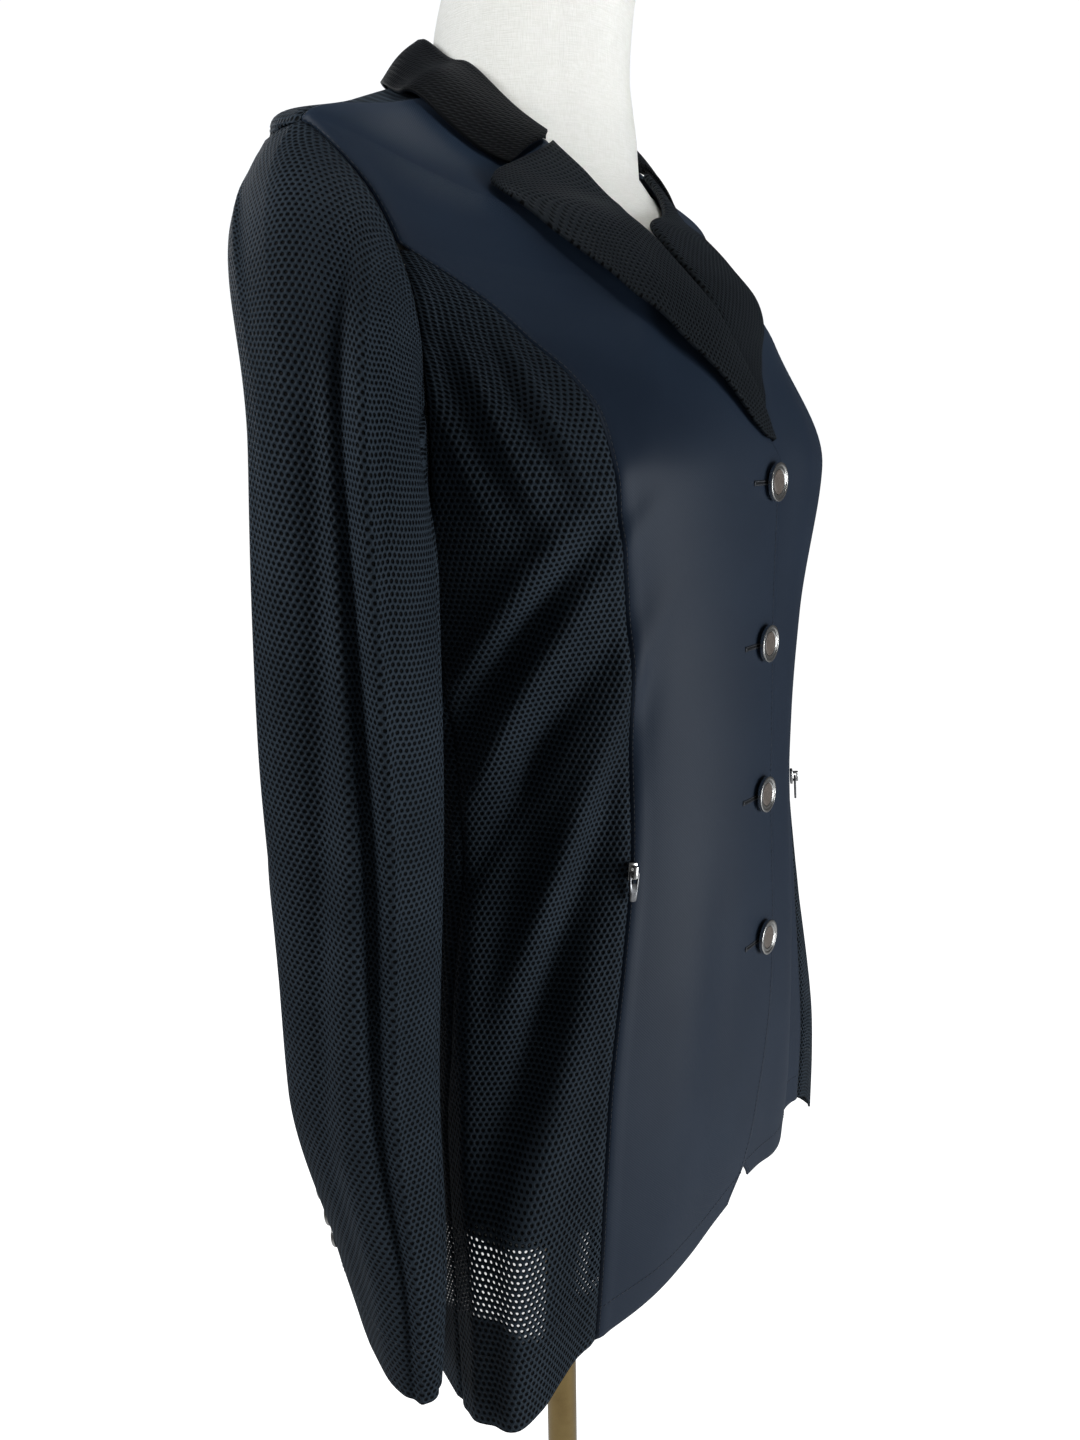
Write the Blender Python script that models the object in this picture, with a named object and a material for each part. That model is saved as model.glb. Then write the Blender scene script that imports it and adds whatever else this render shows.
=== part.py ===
"""Equestrian show coat on a limbless dress form and stand, in metres, +Z up.

The wearer's front faces -Y and the wearer's left is +X.  An angle goes round the
coat from the centre front: 90 is the wearer's left side, -90 the right side and
180 the centre back.  A run goes up the coat from the hem over the shoulder to the neck.
"""
from collections import namedtuple
import math

import bmesh
import bpy
from mathutils import Matrix, Vector

# Driving sizes
HEM_HEIGHT = 0.780
WALL = 0.0016
GAP = 0.0003
LAYER = WALL + GAP
LOOSE_LAYER = 0.0028
ROLL_LAYER = 0.0024
SHOULDER_RUN = 0.635
NECK_RUN = 0.760
ARMPIT_RUN = 0.440
LEAN_SOFTNESS = 0.30
SHOULDER_TILT = 0.022
TILT_FROM_RUN = 0.36
TILT_FULL_RUN = 0.60

# Sections of the coat, hem to neckline, heights measured from the side hem
Ring = namedtuple(
    "Ring", "name run z_front z_side z_back half_width y_front y_wide y_back belly_front belly_back ease")
COAT_RINGS = [
    Ring("hem", 0.000, 0.000, 0.000, 0.000, 0.186, -0.126, -0.062, 0.086, 0.110, 0.00, 0.030),
    Ring("skirt", 0.100, 0.100, 0.100, 0.100, 0.178, -0.138, -0.050, 0.094, 0.085, 0.01, 0.026),
    Ring("hip", 0.200, 0.200, 0.200, 0.200, 0.165, -0.141, -0.040, 0.088, 0.030, 0.03, 0.018),
    Ring("waist", 0.310, 0.310, 0.310, 0.310, 0.146, -0.137, -0.030, 0.066, 0.000, 0.04, 0.016),
    Ring("ribs", 0.390, 0.390, 0.390, 0.390, 0.149, -0.136, -0.020, 0.078, 0.040, 0.04, 0.012),
    Ring("bust", 0.475, 0.475, 0.475, 0.475, 0.161, -0.138, -0.015, 0.095, 0.095, 0.04, 0.0090),
    Ring("chest", 0.555, 0.543, 0.553, 0.565, 0.168, -0.124, -0.010, 0.103, -0.120, 0.04, 0.0070),
    Ring("yoke", 0.605, 0.581, 0.604, 0.615, 0.174, -0.095, -0.002, 0.100, -0.220, 0.02, 0.0046),
    Ring("shoulder", 0.635, 0.594, 0.628, 0.640, 0.172, -0.082, 0.008, 0.097, -0.220, 0.00, 0.0034),
    Ring("collarbone", 0.700, 0.604, 0.647, 0.666, 0.112, -0.071, 0.010, 0.088, -0.100, 0.00, 0.0034),
    Ring("neckline", 0.760, 0.631, 0.662, 0.684, 0.062, -0.052, 0.010, 0.066, 0.000, 0.00, 0.0036),
]

# Soft folds of the cloth, depth + out and - in; they fade out at both runs
Fold = namedtuple("Fold", "name angle_low angle_high run_low run_high spread depth")
COAT_FOLDS = [
    Fold("sleeve_press_right", -107, -98, -0.180, 0.330, 15, -0.018),
    Fold("sleeve_press_left", 109, 100, -0.180, 0.330, 15, -0.018),
    Fold("flare_right", -66, -60, -0.160, 0.250, 8, 0.006),
    Fold("flare_left", 60, 58, -0.160, 0.250, 10, 0.008),
    Fold("pull_right_upper", -76, -52, 0.180, 0.440, 6, -0.005),
    Fold("pull_right_lower", -72, -50, 0.060, 0.300, 5, -0.005),
    Fold("pull_left_upper", 74, 54, 0.170, 0.430, 6, -0.005),
    Fold("pull_left_lower", 70, 52, 0.050, 0.290, 5, -0.004),
    Fold("back_flare_right", -140, -150, -0.160, 0.260, 10, 0.007),
    Fold("back_flare_left", 145, 152, -0.160, 0.240, 11, 0.006),
    Fold("back_hollow", 180, 180, 0.180, 0.460, 14, -0.005),
    Fold("skirt_hollow_left", 34, 33, -0.110, 0.330, 10.5, -0.0165),
]

# Armhole, armpit to shoulder tip: angles from the centre front of its two branches
ArmholeRow = namedtuple("ArmholeRow", "run front back")
ARMHOLE = [
    ArmholeRow(0.440, 85.0, 85.0),
    ArmholeRow(0.450, 79.0, 95.0),
    ArmholeRow(0.468, 76.0, 103.0),
    ArmholeRow(0.495, 74.5, 111.0),
    ArmholeRow(0.525, 74.0, 116.0),
    ArmholeRow(0.555, 74.2, 119.0),
    ArmholeRow(0.581, 75.2, 120.0),
    ArmholeRow(0.600, 77.0, 119.0),
    ArmholeRow(0.616, 81.0, 115.0),
    ArmholeRow(0.628, 85.5, 107.0),
    ArmholeRow(0.635, 90.0, 90.0),
]
STYLE_TOP_RUN = 0.581

# Seams down the coat: angle from the centre front at each run
SeamRow = namedtuple("SeamRow", "run angle")
STYLE_SEAM = [
    SeamRow(0.000, 41.5), SeamRow(0.100, 43.2), SeamRow(0.160, 43.4), SeamRow(0.235, 41.6),
    SeamRow(0.300, 39.6), SeamRow(0.390, 38.7), SeamRow(0.433, 39.7), SeamRow(0.480, 40.8),
    SeamRow(0.506, 41.8), SeamRow(0.527, 46.0), SeamRow(0.544, 53.0), SeamRow(0.561, 60.5),
    SeamRow(0.581, 75.2),
]
SIDE_SEAM = [
    SeamRow(0.000, 90.0), SeamRow(0.140, 90.0), SeamRow(0.200, 85.0), SeamRow(0.260, 83.5),
    SeamRow(0.330, 81.0), SeamRow(0.400, 80.5), SeamRow(0.440, 85.0),
]

# Front edge past the centre line, and the roll line of the lapel above it
EdgeRow = namedtuple("EdgeRow", "run overlap")
FRONT_EDGE = [
    EdgeRow(0.000, -0.030), EdgeRow(0.048, -0.016), EdgeRow(0.070, 0.000), EdgeRow(0.093, 0.007),
    EdgeRow(0.112, 0.011), EdgeRow(0.145, 0.017), EdgeRow(0.180, 0.020), EdgeRow(0.350, 0.019),
    EdgeRow(0.440, 0.014), EdgeRow(0.485, 0.012),
]
BREAK_RUN = 0.485
ROLL_LINE = [
    SeamRow(0.485, 3.7), SeamRow(0.494, 0.6), SeamRow(0.507, -1.4), SeamRow(0.518, -3.2),
    SeamRow(0.539, -6.0), SeamRow(0.560, -8.4), SeamRow(0.583, -9.8), SeamRow(0.609, -10.5),
    SeamRow(0.650, -12.6), SeamRow(0.690, -16.6), SeamRow(0.730, -27.8), SeamRow(0.760, -47.0),
]

# How much further over the centre the left lapel lies than the right one, in degrees
LEFT_SHIFT = [
    SeamRow(0.485, 0.0), SeamRow(0.507, 5.4), SeamRow(0.518, 7.6), SeamRow(0.540, 10.6),
    SeamRow(0.560, 14.6), SeamRow(0.583, 17.2), SeamRow(0.610, 18.1), SeamRow(0.650, 18.6),
    SeamRow(0.690, 16.4), SeamRow(0.730, 11.5), SeamRow(0.760, 0.0),
]
LEFT_TIP_SHIFT = 8.0
TIP_RUNS = (0.600, 0.700)

# The left front lies deeper than the right one beside the centre and below the throat
UNDERLAP_ANGLES = (8.0, 22.0)
LAPEL_ROOM_FROM = 0.440
THROAT_RUNS = (0.545, 0.590)

# How far the hem is cut up above the side hem, by angle from the centre front
HemRow = namedtuple("HemRow", "angle rise")
HEM_CUT = [
    HemRow(0.0, 0.050), HemRow(10.0, 0.046), HemRow(18.0, 0.040), HemRow(32.0, 0.036),
    HemRow(41.0, 0.034), HemRow(46.0, 0.029), HemRow(50.0, 0.018), HemRow(54.0, 0.007),
    HemRow(62.0, 0.000), HemRow(180.0, 0.000),
]
HEM_FADE_RUN = 0.160
LOWER_RUNS = [0.000, 0.020, 0.050, 0.100, 0.145, 0.190, 0.240, 0.290, 0.325, 0.362, 0.400]
SHOULDER_RUNS = [0.670, 0.700, 0.730, 0.760]

# Lapel outer edge against the roll line, break to tip; lift is the height off the front
LapelRow = namedtuple("LapelRow", "roll_run outer_run outer_angle lift")
LAPEL = [
    LapelRow(0.493, 0.4945, -2.4, 0.0022),
    LapelRow(0.508, 0.503, -7.0, 0.0026),
    LapelRow(0.528, 0.514, -10.8, 0.0034),
    LapelRow(0.550, 0.527, -15.0, 0.0046),
    LapelRow(0.572, 0.541, -20.3, 0.0060),
    LapelRow(0.597, 0.556, -25.4, 0.0070),
    LapelRow(0.626, 0.573, -30.2, 0.0074),
    LapelRow(0.661, 0.592, -35.3, 0.0066),
    LapelRow(0.700, 0.616, -41.0, 0.0054),
    LapelRow(0.756, 0.650, -49.6, 0.0044),
]
LAPEL_COLUMNS = [0.0, 0.10, 0.35, 0.65, 1.0]
LAPEL_ROWS = 19
LEFT_LAPEL_FOOT_RUN = 0.508
LEFT_LAPEL_RISE = 0.15
LAPEL_CREST_SHARE = 0.75
LAPEL_ROLL_SHARE = 0.10

# Collar, gorge to centre back: stand height, lean of the roll to the neck, outer edge
CollarRow = namedtuple("CollarRow", "angle stand lean_in outer_run outer_angle lift")
COLLAR = [
    CollarRow(47.0, 0.003, 0.000, 0.705, 54.0, 0.0040),
    CollarRow(60.0, 0.007, 0.001, 0.700, 63.0, 0.0040),
    CollarRow(75.0, 0.011, 0.002, 0.702, 73.0, 0.0046),
    CollarRow(90.0, 0.014, 0.003, 0.711, 88.0, 0.0052),
    CollarRow(110.0, 0.016, 0.003, 0.722, 106.0, 0.0038),
    CollarRow(140.0, 0.017, 0.002, 0.728, 138.0, 0.0036),
    CollarRow(180.0, 0.018, 0.001, 0.728, 180.0, 0.0036),
]
COLLAR_FOLD = 0.0046
COLLAR_FOLD_DROP = 0.0012
COLLAR_CROWN = 0.0008
COLLAR_BELLY = 0.0020
COLLAR_STAND_SHARE = 0.6

# Sleeve sections of the wearer's right arm, x and y from the stand's axis, z from the hem
SleeveRing = namedtuple("SleeveRing", "name run x y z tilt dip half_deep half_wide yaw belly")
SLEEVE_RINGS = [
    SleeveRing("upper_arm", 0.000, -0.200, -0.034, 0.462, 0.036, 0.006, 0.0385, 0.0340, 0, 0.04),
    SleeveRing("elbow", 0.150, -0.201, -0.028, 0.330, 0.004, 0.000, 0.0425, 0.0350, 0, 0.05),
    SleeveRing("forearm", 0.290, -0.203, -0.024, 0.190, 0.000, 0.000, 0.0410, 0.0320, 6, 0.05),
    SleeveRing("wrist", 0.390, -0.203, -0.036, 0.092, 0.000, 0.004, 0.0400, 0.0200, 18, 0.06),
    SleeveRing("cuff", 0.445, -0.202, -0.038, 0.047, 0.000, 0.010, 0.0400, 0.0145, 25, 0.06),
]
SLEEVE_RUNS = [0.040, 0.085, 0.135, 0.185, 0.235, 0.285, 0.335, 0.385, 0.445]
LEFT_SLEEVE_SET_BACK = 0.018
# Turn 0 faces out, 90 to the front, 180 to the body and 270 to the back
SLEEVE_FOLDS = [
    Fold("long_valley", 14, 4, -0.240, 0.480, 17, -0.0130),
    Fold("long_ridge", 42, 34, -0.200, 0.540, 12, 0.0030),
    Fold("inner_hollow", 190, 175, -0.100, 0.400, 30, -0.0040),
    Fold("rear_hollow", -40, -60, 0.120, 0.440, 16, -0.0050),
]
CapRow = namedtuple("CapRow", "turn bend reach drop")
SLEEVE_CAP = [
    CapRow(0.0, 34.0, 0.044, 0.055),
    CapRow(50.0, 52.0, 0.030, 0.045),
    CapRow(90.0, 74.0, 0.018, 0.035),
    CapRow(140.0, 88.0, 0.011, 0.018),
    CapRow(180.0, 92.0, 0.008, 0.008),
    CapRow(220.0, 84.0, 0.014, 0.020),
    CapRow(270.0, 68.0, 0.038, 0.045),
    CapRow(310.0, 56.0, 0.046, 0.056),
    CapRow(360.0, 34.0, 0.044, 0.055),
]
CAP_STEPS = [0.0, 0.14, 0.32, 0.52, 0.75, 1.0]
FRONT_SLEEVE_SEAM_TURN = 120.0
BACK_SLEEVE_SEAM_TURN = 282.0

# Front buttons, a metal body with an inlaid disc
BUTTON_TOP_RUN = 0.470
BUTTON_PITCH = 0.0845
BUTTON_COUNT = 4
BUTTON_ACROSS = 0.004
BUTTON_RADIUS = 0.0100
BUTTON_HEIGHT = 0.0034
BUTTON_BACK_SHARE = 0.70
BUTTON_EDGE = (0.0010, 0.0024)
INLAY_RADIUS = 0.0063
INLAY_DEPTH = 0.0010
INLAY_DOME = 0.0002
BUTTON_SIDES = 24

# Cuff buttons, down the back of each cuff; seat is the height off the cloth's curve
CuffButton = namedtuple("CuffButton", "run turn seat")
CUFF_BUTTONS = [
    CuffButton(0.363, 300.0, 0.0008),
    CuffButton(0.381, 301.0, 0.0006),
    CuffButton(0.399, 300.0, 0.0002),
]
CUFF_BUTTON_RADIUS = 0.0070
CUFF_BUTTON_HEIGHT = 0.0028
CUFF_BUTTON_EDGE = (0.0009, 0.0019)
CUFF_BUTTON_FACE_SHARE = 0.80
CUFF_BUTTON_DISH = 0.0004

# Pocket zips under the style seams, by the fronts' row stations
ZIP_STATIONS = [0.050, 0.100, 0.145, 0.190, 0.240, 0.290]
TAPE_HALF_WIDTH = 0.0060
TAPE_DEPTH = 0.0025
SLIDER_RUN = 0.2835
SLIDER_LENGTH = 0.0090
SLIDER_WIDTH = 0.0050
SLIDER_HEIGHT = 0.0016
SLIDER_SEAT = 0.0007
BRIDGE_LENGTH = 0.0064
BRIDGE_WIDTH = 0.0024
BRIDGE_HEIGHT = 0.0050
BRIDGE_BAR = 0.0011
PULL_LENGTH = 0.0150
PULL_WIDTH = 0.0058
PULL_THICK = 0.0012
PULL_EYE_LENGTH = 0.0044
PULL_EYE_WIDTH = 0.0034
PULL_BELOW_MIDDLE = 0.0008
PULL_ABOVE_CLOTH = 0.0030

# Dress form: neck sections above the coat's neckline, heights from the side hem
FORM_RUNS = [0.078, 0.140, 0.200, 0.260, 0.310, 0.360, 0.420, 0.475, 0.520, 0.560,
             0.595, 0.618, 0.635, 0.665, 0.700, 0.730, 0.760]
FORM_NECK = [
    Ring("neck_base", 0.775, 0.648, 0.674, 0.694, 0.0558, -0.048, 0.008, 0.0618, 0.0, 0.0, 0.0),
    Ring("neck_low", 0.795, 0.680, 0.694, 0.708, 0.0540, -0.043, 0.006, 0.0590, 0.0, 0.0, 0.0),
    Ring("neck_mid", 0.835, 0.730, 0.734, 0.740, 0.0520, -0.049, -0.002, 0.0460, 0.0, 0.0, 0.0),
    Ring("neck_high", 0.895, 0.792, 0.794, 0.796, 0.0525, -0.066, -0.018, 0.0310, 0.0, 0.0, 0.0),
    Ring("neck_top", 0.903, 0.800, 0.800, 0.800, 0.0490, -0.062, -0.018, 0.0270, 0.0, 0.0, 0.0),
]
FORM_SIDES = 28

# Stand
POLE_RADIUS = 0.0105
POLE_Y = 0.0025
BASE_RADIUS = 0.240
BASE_HEIGHT = 0.012
BASE_ROUNDING = 0.003
ROUND_SIDES = 40


def eased_curve(stations, values):
    """Curve through the values with no overshoot between them."""
    count = len(stations)
    steps = [stations[k + 1] - stations[k] for k in range(count - 1)]
    grades = [(values[k + 1] - values[k]) / steps[k] for k in range(count - 1)]
    slopes = [grades[0]]
    for before, after in zip(grades, grades[1:]):
        slopes.append(2.0 * before * after / (before + after) if before * after > 0.0 else 0.0)
    slopes.append(grades[-1])

    def value_at(station):
        place = min(max(station, stations[0]), stations[-1])
        k = 0
        while k < count - 2 and place > stations[k + 1]:
            k += 1
        t = (place - stations[k]) / steps[k]
        rise = t * t * (3.0 - 2.0 * t)
        lean_in = t * (1.0 - t) * (1.0 - t)
        lean_out = t * t * (t - 1.0)
        bend = steps[k] * (slopes[k] * lean_in + slopes[k + 1] * lean_out)
        return values[k] + (values[k + 1] - values[k]) * rise + bend

    return value_at


def column_curves(rows, station):
    """One eased curve for each number column of a table, by its station column."""
    stations = [getattr(row, station) for row in rows]
    names = [name for name in rows[0]._fields if name not in (station, "name")]
    return {name: eased_curve(stations, [getattr(row, name) for row in rows]) for name in names}


COAT_SECTION = column_curves(COAT_RINGS, "run")
STYLE_ANGLE = column_curves(STYLE_SEAM, "run")["angle"]
SIDE_ANGLE = column_curves(SIDE_SEAM, "run")["angle"]
EDGE_OVERLAP = column_curves(FRONT_EDGE, "run")["overlap"]
ROLL_ANGLE = column_curves(ROLL_LINE, "run")["angle"]
LEFT_SHIFT_AT = column_curves(LEFT_SHIFT, "run")["angle"]
HEM_RISE = column_curves(HEM_CUT, "angle")["rise"]


def section_point(section, angle, run):
    """Point of a ring section at an angle in degrees."""
    turn = math.radians(angle)
    side, fore = math.sin(turn), math.cos(turn)
    face = "front" if fore >= 0.0 else "back"
    bulge = 1.0 + section["belly_" + face](run) * math.sin(2.0 * turn) ** 2
    centre = section["y_wide"](run)
    reach = abs(section["y_" + face](run) - centre)
    z_side = section["z_side"](run)
    lean = fore * fore * (1.0 + LEAN_SOFTNESS) / (fore * fore + LEAN_SOFTNESS)
    return Vector((
        section["half_width"](run) * bulge * side,
        centre - reach * bulge * fore,
        z_side + (section["z_" + face](run) - z_side) * lean,
    ))


def normal_of(surface, angle, run):
    """Outward unit normal of a surface of angle and run."""
    across = surface(angle + 0.5, run) - surface(angle - 0.5, run)
    step = 0.002
    low, high = max(run - step, 0.0), min(run + step, NECK_RUN)
    along = surface(angle, high) - surface(angle, low)
    return across.cross(along).normalized()


def smooth_step(low, high, value):
    """0 below low, 1 above high and a soft rise between."""
    t = min(max((value - low) / (high - low), 0.0), 1.0)
    return t * t * (3.0 - 2.0 * t)


def plain_coat(angle, run):
    """Coat's middle surface with no folds; the left shoulder sits a little lower."""
    place = section_point(COAT_SECTION, angle, run)
    place.z -= SHOULDER_TILT * place.x * smooth_step(TILT_FROM_RUN, TILT_FULL_RUN, run)
    return place


def fold_depth(folds, angle, run):
    """Sum of the folds at a place."""
    depth = 0.0
    for fold in folds:
        t = (run - fold.run_low) / (fold.run_high - fold.run_low)
        if 0.0 < t < 1.0:
            centre = fold.angle_low + (fold.angle_high - fold.angle_low) * t
            off = (angle - centre + 180.0) % 360.0 - 180.0
            depth += fold.depth * math.sin(math.pi * t) ** 2 * math.exp(-((off / fold.spread) ** 2))
    return depth


def coat_surface(angle, run):
    """Coat's middle surface with its folds."""
    place = plain_coat(angle, run)
    return place + normal_of(plain_coat, angle, run) * fold_depth(COAT_FOLDS, angle, run)


def up(value):
    """Vector straight up."""
    return Vector((0.0, 0.0, value))


def new_material(name, colour, roughness, metallic=0.0):
    """Plain Principled material."""
    material = bpy.data.materials.new(name)
    material.use_nodes = True
    shader = material.node_tree.nodes["Principled BSDF"]
    shader.inputs["Base Color"].default_value = (*colour, 1.0)
    shader.inputs["Roughness"].default_value = roughness
    shader.inputs["Metallic"].default_value = metallic
    material.diffuse_color = (*colour, 1.0)
    return material


def add_object(name, vertices, faces, material, smooth=True):
    """Mesh object from points measured from the side hem."""
    mesh = bpy.data.meshes.new(name)
    mesh.from_pydata([tuple(vertex + up(HEM_HEIGHT)) for vertex in vertices], [], faces)
    mesh.validate()
    mesh.materials.append(material)
    mesh.polygons.foreach_set("use_smooth", [smooth] * len(mesh.polygons))
    mesh.update()
    made = bpy.data.objects.new(name, mesh)
    bpy.context.scene.collection.objects.link(made)
    return made


def shifted_edge(points, normals, row, column, inward, along):
    """Where an edge point goes when it draws back by half the seam gap."""
    tangent = along[1] - along[0]
    drawn = normals[row][column].cross(tangent)
    if drawn.length < 1e-9:
        return Vector((0.0, 0.0, 0.0))
    drawn.normalize()
    if drawn.dot(inward - points[row][column]) < 0.0:
        drawn = -drawn
    return drawn * (GAP / 2.0)


def drawn_back(points, normals, edges):
    """Grid whose named edges stand half a seam gap back from the seam."""
    rows, columns = len(points), len(points[0])
    moved = [[point.copy() for point in line] for line in points]
    if "left" in edges or "right" in edges:
        for row in range(rows):
            low, high = max(row - 1, 0), min(row + 1, rows - 1)
            for side, column, inner in (("left", 0, 1), ("right", columns - 1, columns - 2)):
                if side in edges:
                    along = (points[low][column], points[high][column])
                    moved[row][column] += shifted_edge(
                        points, normals, row, column, points[row][inner], along)
    for column in range(columns):
        low, high = max(column - 1, 0), min(column + 1, columns - 1)
        for side, row, inner in (("bottom", 0, 1), ("top", rows - 1, rows - 2)):
            if side in edges:
                along = (points[row][low], points[row][high])
                moved[row][column] += shifted_edge(
                    points, normals, row, column, points[inner][column], along)
    return moved


def grid_normals(points):
    """Unit normals of a grid from its neighbouring points."""
    rows, columns = len(points), len(points[0])
    normals = []
    for row in range(rows):
        line = []
        for column in range(columns):
            left, right = max(column - 1, 0), min(column + 1, columns - 1)
            low, high = max(row - 1, 0), min(row + 1, rows - 1)
            across = points[row][right] - points[row][left]
            along = points[high][column] - points[low][column]
            line.append(across.cross(along).normalized())
        normals.append(line)
    return normals


def mirrored(points, normals):
    """Grid reflected to the wearer's other side, still facing out."""
    flip = Vector((-1.0, 1.0, 1.0))
    return (
        [[point * flip for point in reversed(line)] for line in points],
        [[normal * flip for normal in reversed(line)] for line in normals],
    )


def walled_sheet(name, points, normals, material, wall=WALL):
    """Closed wall of cloth through a grid of middle points."""
    rows, columns = len(points), len(points[0])
    half = wall / 2.0
    pairs = [(p, n) for line, facing in zip(points, normals) for p, n in zip(line, facing)]
    vertices = [p + n * half for p, n in pairs] + [p - n * half for p, n in pairs]
    under = rows * columns
    faces = []
    for row in range(rows - 1):
        for column in range(columns - 1):
            a = row * columns + column
            b, c, d = a + 1, a + columns + 1, a + columns
            if (vertices[a] - vertices[c]).length <= (vertices[b] - vertices[d]).length:
                triangles = [(a, b, c), (a, c, d)]
            else:
                triangles = [(a, b, d), (b, c, d)]
            faces += triangles
            faces += [(under + k, under + j, under + i) for i, j, k in triangles]
    rim = [column for column in range(columns)]
    rim += [row * columns + columns - 1 for row in range(1, rows)]
    rim += [(rows - 1) * columns + column for column in range(columns - 2, -1, -1)]
    rim += [row * columns for row in range(rows - 2, 0, -1)]
    for here, after in zip(rim, rim[1:] + rim[:1]):
        faces.append((after, here, under + here))
        faces.append((after, under + here, under + after))
    return add_object(name, vertices, faces, material)


def hem_run(angle, station):
    """Run of a row station once the hem is cut up at this angle."""
    if station >= HEM_FADE_RUN:
        return station
    rise = HEM_RISE(abs((angle + 180.0) % 360.0 - 180.0))
    return rise + station * (1.0 - rise / HEM_FADE_RUN)


def settled(angle_at, station):
    """Angle where a row station meets a seam."""
    angle = angle_at(station)
    for _ in range(3):
        angle = angle_at(hem_run(angle, station))
    return angle


def roll_angle(side, run):
    """Angle of a lapel's roll line, as if on the wearer's right side."""
    return ROLL_ANGLE(run) + (LEFT_SHIFT_AT(run) if side == "left" else 0.0)


def edge_angle(side, run):
    """Angle of a front's free edge, overlap below the break and roll above it, as if right."""
    if run >= BREAK_RUN:
        return roll_angle(side, run)
    width = COAT_SECTION["half_width"](run)
    return math.degrees(math.asin(EDGE_OVERLAP(run) / width))


ARMHOLE_BRANCHES = column_curves(ARMHOLE, "run")


def armhole_angle(branch, run):
    """Armhole angle from the centre front on its front or back branch."""
    return ARMHOLE_BRANCHES[branch](run)


ARMHOLE_RUNS = [row.run for row in ARMHOLE]
ALL_RUNS = LOWER_RUNS + ARMHOLE_RUNS + SHOULDER_RUNS


def front_outer_angle(station):
    """Angle of the front's style seam, armhole and shoulder seam from the centre front."""
    if station <= STYLE_TOP_RUN:
        return STYLE_ANGLE(station)
    if station < SHOULDER_RUN:
        return armhole_angle("front", station)
    return 90.0


def front_lift(angle, run, side):
    """Depth of the left front below the right one, deeper where the left lapel lies between."""
    if side == "right":
        return 0.0
    beside_centre = 1.0 - smooth_step(*UNDERLAP_ANGLES, angle)
    lapel_room = smooth_step(LAPEL_ROOM_FROM, BREAK_RUN, run)
    below_throat = 1.0 - smooth_step(*THROAT_RUNS, run)
    return -LOOSE_LAYER * (1.0 + lapel_room) * beside_centre * below_throat


def lifted_grid(params):
    """Points and normals of a grid of angle, run and lift."""
    points, normals = [], []
    for line in params:
        facing = [normal_of(coat_surface, angle, run) for angle, run, lift in line]
        normals.append(facing)
        points.append([
            coat_surface(angle, run) + normal * lift
            for (angle, run, lift), normal in zip(line, facing)
        ])
    return points, normals


FRONT_COLUMNS = 7


def front_params(side):
    """Rows of angle, run and lift of one front, ordered to face out."""
    params = []
    for station in ALL_RUNS:
        outer = settled(lambda run: -front_outer_angle(run), station)
        inner = settled(lambda run: edge_angle(side, run), station)
        line = []
        for step in range(FRONT_COLUMNS + 1):
            share = step / FRONT_COLUMNS
            angle = outer + (inner - outer) * share
            run = hem_run(angle, station)
            if side == "left":
                angle = -angle
            line.append((angle, run, front_lift(angle, run, side)))
        params.append(line if side == "right" else line[::-1])
    return params


SIDE_COLUMNS = 5


def side_params(side):
    """Rows of one side panel from the side seam or armhole to the style seam."""
    params = []
    stations = [run for run in ALL_RUNS if run <= STYLE_TOP_RUN]
    for station in stations:
        inner = settled(lambda run: -STYLE_ANGLE(run), station)
        if station < ARMPIT_RUN:
            outer = settled(lambda run: -SIDE_ANGLE(run), station)
        else:
            outer = -armhole_angle("front", station)
        line = []
        for step in range(SIDE_COLUMNS + 1):
            angle = outer + (inner - outer) * step / SIDE_COLUMNS
            run = hem_run(angle, station)
            line.append((angle if side == "right" else -angle, run, 0.0))
        params.append(line if side == "right" else line[::-1])
    return params


BACK_COLUMNS = 14


def back_params():
    """Rows of the back, from the left side seam round to the right one."""
    params = []
    for station in ALL_RUNS:
        if station < ARMPIT_RUN:
            edge = SIDE_ANGLE(station)
        elif station < SHOULDER_RUN:
            edge = armhole_angle("back", station)
        else:
            edge = 90.0
        span = 360.0 - 2.0 * edge
        params.append([
            (edge + span * step / BACK_COLUMNS, station, 0.0) for step in range(BACK_COLUMNS + 1)
        ])
    return params


def pinched_tip(points, share=0.86):
    """Grid whose last row stops short of the point where it would close."""
    last = [low.lerp(high, share) for low, high in zip(points[-2], points[-1])]
    return points[:-1] + [last]


def build_fronts(material):
    """Right and left fronts."""
    for side in ("right", "left"):
        points, normals = lifted_grid(front_params(side))
        outer = "left" if side == "right" else "right"
        points = drawn_back(points, normals, (outer,))
        walled_sheet("front_" + side, points, normals, material)


def build_sides(material):
    """Right and left side panels."""
    for side in ("right", "left"):
        points, normals = lifted_grid(side_params(side))
        points = pinched_tip(points)
        points = drawn_back(points, normals, ("left", "right"))
        walled_sheet("side_" + side, points, normals, material)


def build_back(material):
    """Back in one piece."""
    points, normals = lifted_grid(back_params())
    points = drawn_back(points, normals, ("left", "right"))
    walled_sheet("back", points, normals, material)


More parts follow.
